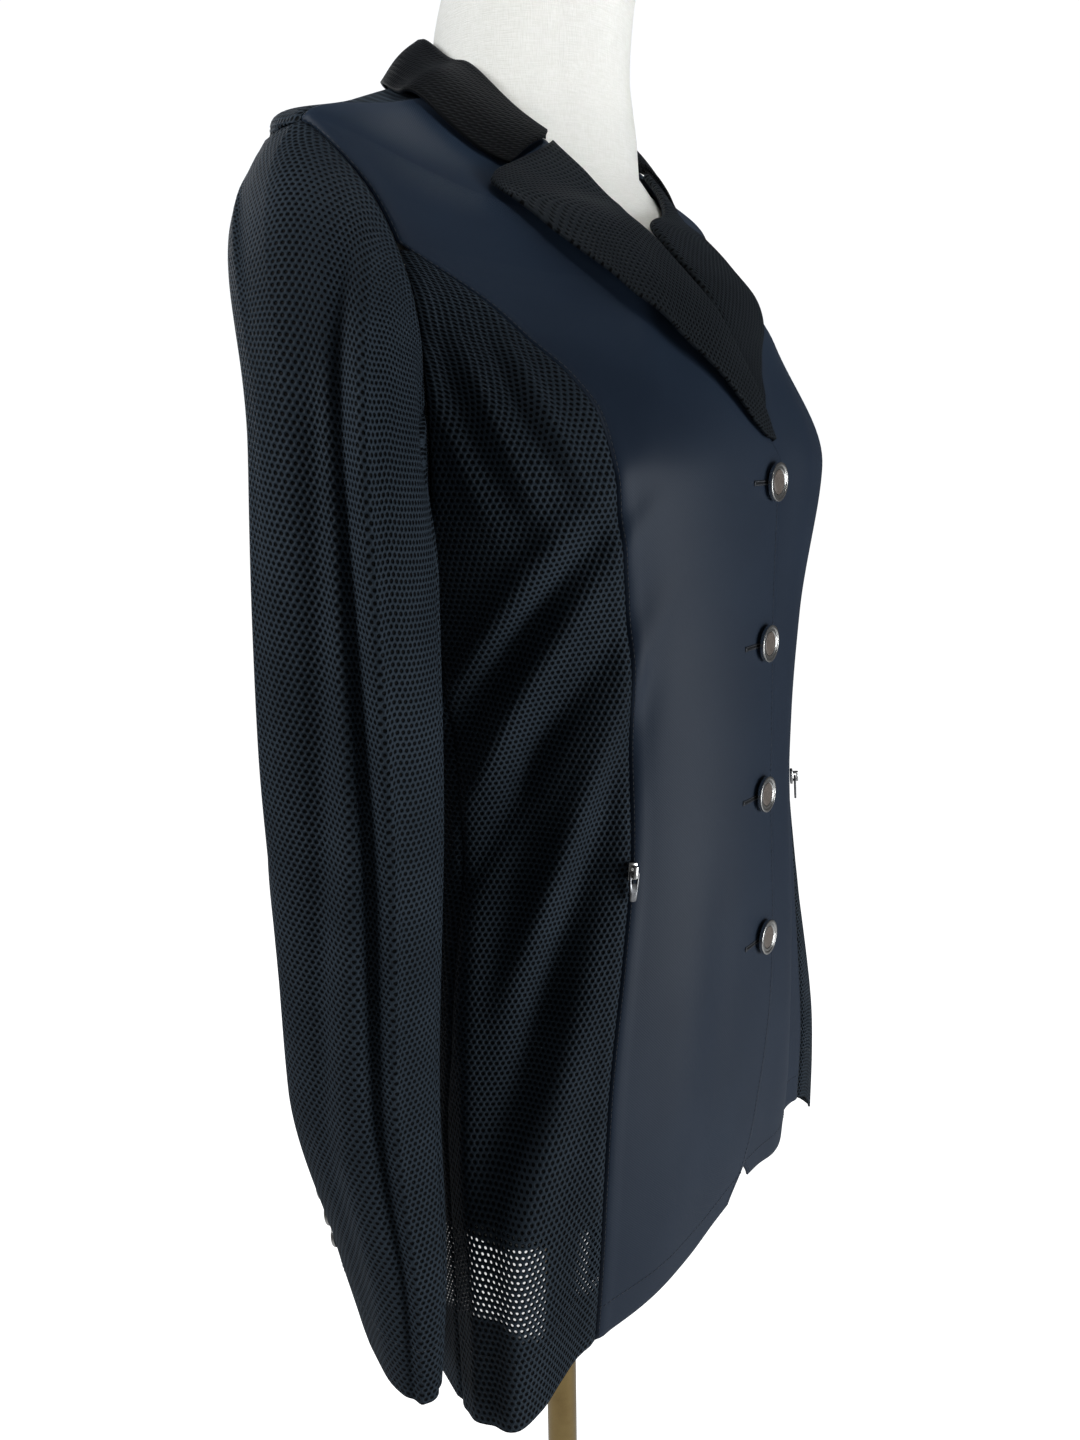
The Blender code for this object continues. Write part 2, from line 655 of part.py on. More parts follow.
def armhole_loop(side):
    """Armhole corners of one side, from the shoulder tip round by the front.

    Each is a place, the coat's outward normal and the way on over the opening, all
    as if on the wearer's right side.
    """
    sign = -1.0 if side == "right" else 1.0
    flip = Vector((1.0 if side == "right" else -1.0, 1.0, 1.0))
    front = [(row.run, row.front) for row in reversed(ARMHOLE)]
    back = [(row.run, row.back) for row in ARMHOLE[1:-1]]
    places = [(sign * angle, run) for run, angle in front + back]
    points = [coat_surface(angle, run) * flip for angle, run in places]
    normals = [normal_of(coat_surface, angle, run) * flip for angle, run in places]
    centre = sum(points, Vector((0.0, 0.0, 0.0))) / len(points)
    loop = []
    for k, (point, normal) in enumerate(zip(points, normals)):
        tangent = points[(k + 1) % len(points)] - points[k - 1]
        onward = tangent.cross(normal).normalized()
        if onward.dot(centre - point) < 0.0:
            onward = -onward
        loop.append((point, normal, onward))
    return loop


def loop_turns(loop):
    """Turn in degrees of each armhole corner, by length, 0 at the top and 180 at the foot."""
    count = len(loop)
    foot = len(ARMHOLE) - 1
    lengths = [(loop[(k + 1) % count][0] - loop[k][0]).length for k in range(count)]
    turns = []
    for k in range(count):
        if k <= foot:
            turns.append(180.0 * sum(lengths[:k]) / sum(lengths[:foot]))
        else:
            turns.append(180.0 + 180.0 * sum(lengths[foot:k]) / sum(lengths[foot:]))
    return turns


SLEEVE_SECTION = column_curves(SLEEVE_RINGS, "run")
CAP_SHAPE = column_curves(SLEEVE_CAP, "turn")


def sleeve_point(turn, run, set_back):
    """Middle surface of the sleeve below its cap, on the wearer's right.

    The section's yaw turns its front edge away from the body.
    """
    section = {name: curve(run) for name, curve in SLEEVE_SECTION.items()}
    angle = math.radians(turn)
    out, fore = math.cos(angle), math.sin(angle)
    bulge = 1.0 + section["belly"] * math.sin(2.0 * angle) ** 2
    fold = fold_depth(SLEEVE_FOLDS, turn, run)
    reach_x = section["half_wide"] * bulge + fold
    reach_y = section["half_deep"] * bulge + fold
    yaw = math.radians(section["yaw"])
    away_x, away_y = -reach_x * out, -reach_y * fore
    return Vector((
        section["x"] + away_x * math.cos(yaw) + away_y * math.sin(yaw),
        section["y"] + set_back - away_x * math.sin(yaw) + away_y * math.cos(yaw),
        section["z"] + section["tilt"] * out - section["dip"] * fore,
    ))


def cap_point(corner, turn, step, set_back):
    """Point of the sleeve cap, on a curve from the armhole to the first section."""
    place, normal, onward = corner
    bend = math.radians(CAP_SHAPE["bend"](turn))
    start_way = onward * math.cos(bend) + normal * math.sin(bend)
    start = place + start_way * (GAP + WALL / 2.0 * math.sin(bend))
    finish = sleeve_point(turn, 0.0, set_back)
    finish_way = (sleeve_point(turn, 0.01, set_back) - finish).normalized()
    first = start + start_way * CAP_SHAPE["reach"](turn)
    second = finish - finish_way * CAP_SHAPE["drop"](turn)
    s, t = 1.0 - step, step
    return start * s ** 3 + first * 3.0 * s * s * t + second * 3.0 * s * t * t + finish * t ** 3


def sleeve_grid(side):
    """Whole sleeve as rows from cuff to armhole, columns by rising turn, right side."""
    set_back = LEFT_SLEEVE_SET_BACK if side == "left" else 0.0
    loop = armhole_loop(side)
    turns = loop_turns(loop)
    rows = [[sleeve_point(turn, run, set_back) for turn in turns] for run in reversed(SLEEVE_RUNS)]
    for step in reversed(CAP_STEPS):
        rows.append([
            cap_point(corner, turn, step, set_back) for corner, turn in zip(loop, turns)
        ])
    return turns, rows


def tube_normals(rows):
    """Unit normals of a closed tube of rows, facing away from its middle."""
    count = len(rows[0])
    normals = []
    for r, line in enumerate(rows):
        low, high = rows[max(r - 1, 0)], rows[min(r + 1, len(rows) - 1)]
        facing = []
        for k in range(count):
            across = line[(k + 1) % count] - line[k - 1]
            along = high[k] - low[k]
            facing.append(across.cross(along).normalized())
        normals.append(facing)
    return normals


def nearest(values, value):
    """Index of the nearest value."""
    return min(range(len(values)), key=lambda k: abs(values[k] - value))


def build_sleeves(material):
    """Top and under sleeve of each arm."""
    for side in ("right", "left"):
        turns, rows = sleeve_grid(side)
        normals = tube_normals(rows)
        count = len(turns)
        front_seam = nearest(turns, FRONT_SLEEVE_SEAM_TURN)
        back_seam = nearest(turns, BACK_SLEEVE_SEAM_TURN)
        spans = {
            "sleeve_under_": list(range(front_seam, back_seam + 1)),
            "sleeve_top_": [k % count for k in range(back_seam, count + front_seam + 1)],
        }
        for name, span in spans.items():
            points = [[line[k] for k in span] for line in rows]
            facing = [[line[k] for k in span] for line in normals]
            points = drawn_back(points, facing, ("left", "right"))
            if side == "left":
                points, facing = mirrored(points, facing)
            walled_sheet(name + side, points, facing, material)


LAPEL_SHAPE = column_curves(LAPEL, "roll_run")


def lapel_line(side, roll_run):
    """Angle, run and lift across a lapel, from its roll line to its outer edge."""
    roll = roll_angle(side, roll_run)
    outer_angle = LAPEL_SHAPE["outer_angle"](roll_run)
    outer_run = LAPEL_SHAPE["outer_run"](roll_run)
    height = LAPEL_SHAPE["lift"](roll_run) - LAYER
    if side == "left":
        height *= LEFT_LAPEL_RISE
        outer_angle += max(LEFT_SHIFT_AT(roll_run), LEFT_TIP_SHIFT * smooth_step(*TIP_RUNS, roll_run))
    line = []
    for share in LAPEL_COLUMNS:
        angle = roll + (outer_angle - roll) * share
        run = roll_run + (outer_run - roll_run) * share
        crest = min(share / LAPEL_CREST_SHARE, 1.0)
        rise = height * math.sin(math.pi / 2.0 * crest)
        rolled = smooth_step(0.0, LAPEL_ROLL_SHARE, share)
        base = ROLL_LAYER + (LOOSE_LAYER - ROLL_LAYER) * rolled
        signed = angle if side == "right" else -angle
        line.append((signed, run, front_lift(signed, run, side) + base + rise))
    return line[::-1] if side == "right" else line


def build_lapels(material):
    """Turned-back lapels, lying over the fronts."""
    top = LAPEL[-1].roll_run
    for side, foot in (("right", LAPEL[0].roll_run), ("left", LEFT_LAPEL_FOOT_RUN)):
        params = [
            lapel_line(side, foot + (top - foot) * k / (LAPEL_ROWS - 1)) for k in range(LAPEL_ROWS)
        ]
        points, normals = lifted_grid(params)
        walled_sheet("lapel_" + side, points, grid_normals(points), material)


COLLAR_SHAPE = column_curves(COLLAR, "angle")


def collar_line(angle):
    """Cross-section of the collar at an angle: neck seam, roll and outer edge."""
    shape = {name: curve(abs(angle)) for name, curve in COLLAR_SHAPE.items()}
    side = 1.0 if angle >= 0.0 else -1.0
    seam = plain_coat(angle, NECK_RUN)
    outward = Vector((seam.x, seam.y - COAT_SECTION["y_wide"](NECK_RUN), 0.0)).normalized()
    foot = seam + up(GAP + WALL / 2.0)
    roll = foot + up(shape["stand"]) - outward * shape["lean_in"]
    outer_angle = side * shape["outer_angle"]
    outer_run = shape["outer_run"]
    outer = plain_coat(outer_angle, outer_run)
    outer += normal_of(plain_coat, outer_angle, outer_run) * shape["lift"]
    over = roll + outward * COLLAR_FOLD - up(COLLAR_FOLD_DROP)
    crown = (roll + over) / 2.0 + up(COLLAR_CROWN)
    facing = normal_of(plain_coat, outer_angle, outer_run)
    middle = over.lerp(outer, 0.5) + facing * COLLAR_BELLY
    return [foot, foot.lerp(roll, COLLAR_STAND_SHARE), roll, crown, over, middle, outer]


def collar_angles():
    """Angles of the panels' own columns round the neckline, right gorge to left gorge."""
    gorge = -ROLL_ANGLE(NECK_RUN)
    half = [gorge + (90.0 - gorge) * k / FRONT_COLUMNS for k in range(FRONT_COLUMNS)]
    half += [90.0 + 180.0 * k / BACK_COLUMNS for k in range(BACK_COLUMNS // 2 + 1)]
    return [-angle for angle in half] + half[-2::-1]


def build_collar(material):
    """Collar folded over its stand, gorge to gorge."""
    columns = [collar_line(angle) for angle in collar_angles()]
    points = [[column[k] for column in columns] for k in range(len(columns[0]))]
    walled_sheet("collar", points, grid_normals(points), material)


def placed(point, along, out):
    """Matrix of a frame with y along, z out and x across, measured from the side hem."""
    z_way = out.normalized()
    y_way = (along - z_way * along.dot(z_way)).normalized()
    x_way = y_way.cross(z_way)
    matrix = Matrix((x_way, y_way, z_way)).transposed().to_4x4()
    matrix.translation = point + up(HEM_HEIGHT)
    return matrix


def turned_piece(name, profile, sides, matrix, material):
    """Closed round piece from radius and height points; radius 0 closes both ends."""
    mesh = bmesh.new()
    rings = []
    for radius, height in profile:
        if radius == 0.0:
            rings.append([mesh.verts.new((0.0, 0.0, height))])
            continue
        turns = [2.0 * math.pi * k / sides for k in range(sides)]
        rings.append([
            mesh.verts.new((radius * math.cos(turn), radius * math.sin(turn), height))
            for turn in turns
        ])
    for low, high in zip(rings, rings[1:]):
        for k in range(sides):
            after = (k + 1) % sides
            corners = [low[k % len(low)], low[after % len(low)]]
            corners += [high[after % len(high)], high[k % len(high)]]
            mesh.faces.new(list(dict.fromkeys(corners)))
    return finished(name, mesh, matrix, material)


def finished(name, mesh, matrix, material, smooth=True):
    """Object from a bmesh in its own frame."""
    bmesh.ops.recalc_face_normals(mesh, faces=mesh.faces)
    data = bpy.data.meshes.new(name)
    mesh.to_mesh(data)
    mesh.free()
    data.materials.append(material)
    data.polygons.foreach_set("use_smooth", [smooth] * len(data.polygons))
    made = bpy.data.objects.new(name, data)
    made.matrix_world = matrix
    bpy.context.scene.collection.objects.link(made)
    return made


def plate(name, corners, outlines, height, matrix, material):
    """Flat piece of a height from outlines that share the corners, middle at z 0."""
    mesh = bmesh.new()
    vertices = [mesh.verts.new((x, y, -height / 2.0)) for x, y in corners]
    faces = [mesh.faces.new([vertices[k] for k in outline]) for outline in outlines]
    grown = bmesh.ops.extrude_face_region(mesh, geom=faces)["geom"]
    moved = [item for item in grown if isinstance(item, bmesh.types.BMVert)]
    bmesh.ops.translate(mesh, verts=moved, vec=(0.0, 0.0, height))
    return finished(name, mesh, matrix, material, smooth=False)


def build_front_buttons(metal, inlay):
    """Front buttons, each a rimmed body with a disc let into its face."""
    rim = (BUTTON_RADIUS + INLAY_RADIUS) / 2.0
    floor = BUTTON_HEIGHT - INLAY_DEPTH
    edge_low, edge_high = BUTTON_EDGE
    body = [(0.0, 0.0), (BUTTON_BACK_SHARE * BUTTON_RADIUS, 0.0), (BUTTON_RADIUS, edge_low)]
    body += [(BUTTON_RADIUS, edge_high), (rim, BUTTON_HEIGHT), (INLAY_RADIUS, BUTTON_HEIGHT)]
    body += [(INLAY_RADIUS, floor), (0.0, floor)]
    disc_radius = INLAY_RADIUS - GAP
    disc = [(0.0, floor + GAP), (disc_radius, floor + GAP)]
    disc += [(disc_radius, BUTTON_HEIGHT - INLAY_DOME), (0.0, BUTTON_HEIGHT)]
    for number in range(BUTTON_COUNT):
        run = BUTTON_TOP_RUN - BUTTON_PITCH * number
        angle = math.degrees(math.asin(BUTTON_ACROSS / COAT_SECTION["half_width"](run)))
        out = normal_of(coat_surface, angle, run)
        back = coat_surface(angle, run) + out * (WALL / 2.0 + GAP)
        matrix = placed(back, up(1.0), out)
        label = "front_button_" + str(number + 1)
        turned_piece(label, body, BUTTON_SIDES, matrix, metal)
        turned_piece(label + "_inlay", disc, BUTTON_SIDES, matrix, inlay)


def sleeve_normal(turn, run):
    """Outward unit normal of the right sleeve."""
    across = sleeve_point(turn + 1.0, run, 0.0) - sleeve_point(turn - 1.0, run, 0.0)
    down = sleeve_point(turn, run + 0.002, 0.0) - sleeve_point(turn, run - 0.002, 0.0)
    return down.cross(across).normalized()


def build_cuff_buttons(metal):
    """Three small buttons on the back of each cuff."""
    radius, height = CUFF_BUTTON_RADIUS, CUFF_BUTTON_HEIGHT
    edge_low, edge_high = CUFF_BUTTON_EDGE
    body = [(0.0, 0.0), (BUTTON_BACK_SHARE * radius, 0.0), (radius, edge_low)]
    body += [(radius, edge_high), (CUFF_BUTTON_FACE_SHARE * radius, height)]
    body += [(0.0, height - CUFF_BUTTON_DISH)]
    for side, flip, set_back in (("right", 1.0, 0.0), ("left", -1.0, LEFT_SLEEVE_SET_BACK)):
        mirror = Vector((flip, 1.0, 1.0))
        for number, button in enumerate(CUFF_BUTTONS, 1):
            out = sleeve_normal(button.turn, button.run)
            back = sleeve_point(button.turn, button.run, set_back)
            back += out * (WALL / 2.0 + button.seat)
            matrix = placed(back * mirror, up(1.0), out * mirror)
            label = "cuff_button_" + side + "_" + str(number)
            turned_piece(label, body, BUTTON_SIDES, matrix, metal)


def seam_frame(side):
    """Frame on the style seam at the zip's slider, its z 0 on the cloth's outer face."""
    sign = -1.0 if side == "right" else 1.0
    angle = sign * STYLE_ANGLE(SLIDER_RUN)
    out = normal_of(coat_surface, angle, SLIDER_RUN)
    step = SLIDER_LENGTH / 2.0
    above = coat_surface(sign * STYLE_ANGLE(SLIDER_RUN + step), SLIDER_RUN + step)
    below = coat_surface(sign * STYLE_ANGLE(SLIDER_RUN - step), SLIDER_RUN - step)
    seat = coat_surface(angle, SLIDER_RUN) + out * (WALL / 2.0 + SLIDER_SEAT)
    return placed(seat, above - below, out)


def build_zip_tapes(material):
    """Strip of zip tape behind each style seam, made from the panels' own points."""
    for side in ("right", "left"):
        grids = [lifted_grid(side_params(side)), lifted_grid(front_params(side))]
        if side == "left":
            grids.reverse()
        (before, before_facing), (after, facing) = grids
        points, normals = [], []
        for row in [ALL_RUNS.index(station) for station in ZIP_STATIONS]:
            seam, out = after[row][0], facing[row][0]
            to_before = (before[row][-2] - seam).normalized() * TAPE_HALF_WIDTH
            to_after = (after[row][1] - seam).normalized() * TAPE_HALF_WIDTH
            outs = [(out + before_facing[row][-2]).normalized(), out]
            outs.append((out + facing[row][1]).normalized())
            line = [seam + to_before, seam, seam + to_after]
            points.append([point - way * TAPE_DEPTH for point, way in zip(line, outs)])
            normals.append(outs)
        walled_sheet("zip_tape_" + side, points, normals, material)


def build_zip_slider(side, metal):
    """Slider body with the bridge that holds the pull."""
    frame = seam_frame(side)
    half, reach = SLIDER_WIDTH / 2.0, SLIDER_LENGTH / 2.0
    corner = half / 2.0
    corners = [(-half, -reach), (half, -reach), (half, reach - corner), (corner, reach)]
    corners += [(-corner, reach), (-half, reach - corner)]
    lift = Matrix.Translation((0.0, 0.0, SLIDER_HEIGHT / 2.0))
    body = plate("zip_slider_" + side, corners, [range(6)], SLIDER_HEIGHT, frame @ lift, metal)
    outer, inner = BRIDGE_LENGTH / 2.0, BRIDGE_LENGTH / 2.0 - BRIDGE_BAR
    foot, top = SLIDER_HEIGHT / 2.0, BRIDGE_HEIGHT
    arch = [(outer, foot), (outer, top - BRIDGE_BAR), (outer - BRIDGE_BAR, top)]
    arch += [(BRIDGE_BAR - outer, top), (-outer, top - BRIDGE_BAR), (-outer, foot)]
    arch += [(-inner, foot), (-inner, top - BRIDGE_BAR), (inner, top - BRIDGE_BAR), (inner, foot)]
    side_on = Matrix(((0.0, 0.0, 1.0), (1.0, 0.0, 0.0), (0.0, 1.0, 0.0))).to_4x4()
    bridge = plate("bridge_" + side, arch, [range(10)], BRIDGE_WIDTH, frame @ side_on, metal)
    bridge.hide_render = True
    bridge.display_type = "WIRE"
    joined = body.modifiers.new("bridge", "BOOLEAN")
    joined.operation = "UNION"
    joined.solver = "EXACT"
    joined.object = bridge
    return frame


def build_zip_pull(side, frame, metal):
    """Pull tab whose eye's top bar turns in the slider's bridge."""
    half, eye = PULL_WIDTH / 2.0, PULL_EYE_WIDTH / 2.0
    top = PULL_THICK / 2.0
    bar = -PULL_THICK / 2.0
    eye_foot = bar - PULL_EYE_LENGTH
    tip = top - PULL_LENGTH
    corner = half / 2.0
    corners = [(-half, top), (-eye, top), (eye, top), (half, top)]
    corners += [(-half, bar), (-eye, bar), (eye, bar), (half, bar)]
    corners += [(-half, eye_foot), (-eye, eye_foot), (eye, eye_foot), (half, eye_foot)]
    corners += [(-half, tip + corner), (-corner, tip), (corner, tip), (half, tip + corner)]
    outlines = [(0, 4, 5, 1), (1, 5, 6, 2), (2, 6, 7, 3), (4, 8, 9, 5), (6, 10, 11, 7)]
    outlines.append((8, 12, 13, 14, 15, 11, 10, 9))
    hinge = Matrix.Translation((0.0, -PULL_BELOW_MIDDLE, PULL_ABOVE_CLOTH))
    return plate("zip_pull_" + side, corners, outlines, PULL_THICK, frame @ hinge, metal)


def build_zips(tape, metal):
    """Zip tape, slider and pull at each style seam."""
    build_zip_tapes(tape)
    for side in ("right", "left"):
        frame = build_zip_slider(side, metal)
        build_zip_pull(side, frame, metal)


def form_line(section_at, run):
    """Ring of points round the form, 0 at the centre front."""
    return [section_at(360.0 * k / FORM_SIDES, run) for k in range(FORM_SIDES)]


def form_surface(angle, run):
    """Form's surface below the neckline, the coat's plain surface moved in by its ease."""
    ease = COAT_SECTION["ease"](run)
    return plain_coat(angle, run) - normal_of(plain_coat, angle, run) * ease


def build_dress_form(material):
    """Limbless dress form, closed by a flat foot and a flat neck cap."""
    rows = [form_line(form_surface, run) for run in FORM_RUNS]
    for place in rows[0]:
        place.z = FORM_RUNS[0]
    neck = column_curves(FORM_NECK, "run")
    rows += [form_line(lambda angle, run: section_point(neck, angle, run), ring.run)
             for ring in FORM_NECK]
    vertices = [point for line in rows for point in line]
    faces = []
    for row in range(len(rows) - 1):
        for k in range(FORM_SIDES):
            after = (k + 1) % FORM_SIDES
            low, high = row * FORM_SIDES, (row + 1) * FORM_SIDES
            faces.append((low + k, low + after, high + after, high + k))
    last = (len(rows) - 1) * FORM_SIDES
    faces.append([FORM_SIDES - 1 - k for k in range(FORM_SIDES)])
    faces.append([last + k for k in range(FORM_SIDES)])
    add_object("dress_form", vertices, faces, material)


def build_stand(metal):
    """Pole from the form's foot to a round base."""
    edge = BASE_HEIGHT - BASE_ROUNDING
    base = [(0.0, 0.0), (BASE_RADIUS, 0.0), (BASE_RADIUS, edge)]
    base += [(BASE_RADIUS - BASE_ROUNDING, BASE_HEIGHT), (0.0, BASE_HEIGHT)]
    turned_piece("stand_base", base, ROUND_SIDES, Matrix.Identity(4), metal)
    low, top = BASE_HEIGHT + GAP, HEM_HEIGHT + FORM_RUNS[0] - GAP
    pole = [(0.0, low), (POLE_RADIUS, low), (POLE_RADIUS, top), (0.0, top)]
    turned_piece("stand_pole", pole, BUTTON_SIDES, Matrix.Translation((0.0, POLE_Y, 0.0)), metal)


def main():
    """Build the whole part."""
    for item in list(bpy.data.objects):
        bpy.data.objects.remove(item, do_unlink=True)
    navy = new_material("smooth_navy", (0.019, 0.026, 0.040), 0.62)
    mesh_cloth = new_material("navy_mesh", (0.010, 0.013, 0.018), 0.75)
    fine_mesh = new_material("fine_mesh", (0.008, 0.010, 0.013), 0.75)
    tape = new_material("zip_tape_navy", (0.012, 0.015, 0.022), 0.70)
    silver = new_material("silver_metal", (0.62, 0.61, 0.59), 0.28, 1.0)
    taupe = new_material("taupe_inlay", (0.120, 0.098, 0.084), 0.35)
    linen = new_material("white_linen", (0.72, 0.69, 0.64), 0.80)
    brass = new_material("polished_brass", (0.62, 0.45, 0.22), 0.25, 1.0)
    build_fronts(navy)
    build_sides(mesh_cloth)
    build_back(mesh_cloth)
    build_sleeves(mesh_cloth)
    build_lapels(fine_mesh)
    build_collar(fine_mesh)
    build_front_buttons(silver, taupe)
    build_cuff_buttons(silver)
    build_zips(tape, silver)
    build_dress_form(linen)
    build_stand(brass)


main()
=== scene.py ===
"""Looks of the equestrian show coat on its dress form, in metres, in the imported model's frame.

The wearer's front faces -Y and the wearer's left is +X.  An angle goes round the
coat from the centre front: 90 is the wearer's left side, -90 the right side and
180 the centre back.  A run goes up the coat from the hem over the shoulder to the neck.
Heights of the coat are measured from the side hem until a piece is made.
"""

from collections import namedtuple
import math

import bmesh
import bpy
from mathutils import Matrix, Vector
import numpy as np


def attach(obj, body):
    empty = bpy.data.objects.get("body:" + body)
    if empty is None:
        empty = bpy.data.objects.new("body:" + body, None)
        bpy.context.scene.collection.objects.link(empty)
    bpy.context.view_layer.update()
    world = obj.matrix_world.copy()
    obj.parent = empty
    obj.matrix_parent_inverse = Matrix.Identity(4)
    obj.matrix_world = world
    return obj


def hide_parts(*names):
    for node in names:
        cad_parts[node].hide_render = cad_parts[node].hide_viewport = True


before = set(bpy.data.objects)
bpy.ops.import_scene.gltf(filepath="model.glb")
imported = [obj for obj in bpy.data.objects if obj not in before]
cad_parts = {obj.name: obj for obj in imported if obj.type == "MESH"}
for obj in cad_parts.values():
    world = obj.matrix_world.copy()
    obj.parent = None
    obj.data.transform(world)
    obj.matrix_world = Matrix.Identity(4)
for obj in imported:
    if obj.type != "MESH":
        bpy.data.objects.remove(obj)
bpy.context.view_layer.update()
COAT = "coat_and_stand"
SIDES = ("right", "left")
SIDE_SIGN = {"right": -1.0, "left": 1.0}

# Sizes shared with the solids
HEM_HEIGHT = 0.780
WALL = 0.0016
GAP = 0.0003
LAYER = WALL + GAP
LOOSE_LAYER = 0.0028
ROLL_LAYER = 0.0024
SHOULDER_RUN = 0.635
NECK_RUN = 0.760
ARMPIT_RUN = 0.440
LEAN_SOFTNESS = 0.30
SHOULDER_TILT = 0.022
TILT_FROM_RUN = 0.36
TILT_FULL_RUN = 0.60

# Thickness of the cloths as they show
SMOOTH_THICK = 0.0011
MESH_THICK = 0.0009
LAPEL_THICK = 0.0018
ROW_STEP = 0.0042

# Sections of the coat, hem to neckline, heights measured from the side hem
Ring = namedtuple(
    "Ring", "name run z_front z_side z_back half_width y_front y_wide y_back belly_front belly_back ease")
COAT_RINGS = [
    Ring("hem", 0.000, 0.000, 0.000, 0.000, 0.186, -0.126, -0.062, 0.086, 0.110, 0.00, 0.030),
    Ring("skirt", 0.100, 0.100, 0.100, 0.100, 0.178, -0.138, -0.050, 0.094, 0.085, 0.01, 0.026),
    Ring("hip", 0.200, 0.200, 0.200, 0.200, 0.165, -0.141, -0.040, 0.088, 0.030, 0.03, 0.018),
    Ring("waist", 0.310, 0.310, 0.310, 0.310, 0.146, -0.137, -0.030, 0.066, 0.000, 0.04, 0.016),
    Ring("ribs", 0.390, 0.390, 0.390, 0.390, 0.149, -0.136, -0.020, 0.078, 0.040, 0.04, 0.012),
    Ring("bust", 0.475, 0.475, 0.475, 0.475, 0.161, -0.138, -0.015, 0.095, 0.095, 0.04, 0.0090),
    Ring("chest", 0.555, 0.543, 0.553, 0.565, 0.168, -0.124, -0.010, 0.103, -0.120, 0.04, 0.0070),
    Ring("yoke", 0.605, 0.581, 0.604, 0.615, 0.174, -0.095, -0.002, 0.100, -0.220, 0.02, 0.0046),
    Ring("shoulder", 0.635, 0.594, 0.628, 0.640, 0.172, -0.082, 0.008, 0.097, -0.220, 0.00, 0.0034),
    Ring("collarbone", 0.700, 0.604, 0.647, 0.666, 0.112, -0.071, 0.010, 0.088, -0.100, 0.00, 0.0034),
    Ring("neckline", 0.760, 0.631, 0.662, 0.684, 0.062, -0.052, 0.010, 0.066, 0.000, 0.00, 0.0036),
]

# Soft folds of the cloth, depth + out and - in; they fade out at both runs
Fold = namedtuple("Fold", "name angle_low angle_high run_low run_high spread depth")
COAT_FOLDS = [
    Fold("sleeve_press_right", -107, -98, -0.180, 0.330, 15, -0.018),
    Fold("sleeve_press_left", 109, 100, -0.180, 0.330, 15, -0.018),
    Fold("flare_right", -66, -60, -0.160, 0.250, 8, 0.006),
    Fold("flare_left", 60, 58, -0.160, 0.250, 10, 0.008),
    Fold("pull_right_upper", -76, -52, 0.180, 0.440, 6, -0.005),
    Fold("pull_right_lower", -72, -50, 0.060, 0.300, 5, -0.005),
    Fold("pull_left_upper", 74, 54, 0.170, 0.430, 6, -0.005),
    Fold("pull_left_lower", 70, 52, 0.050, 0.290, 5, -0.004),
    Fold("back_flare_right", -140, -150, -0.160, 0.260, 10, 0.007),
    Fold("back_flare_left", 145, 152, -0.160, 0.240, 11, 0.006),
    Fold("back_hollow", 180, 180, 0.180, 0.460, 14, -0.005),
    Fold("skirt_hollow_left", 34, 33, -0.110, 0.330, 10.5, -0.0165),
]

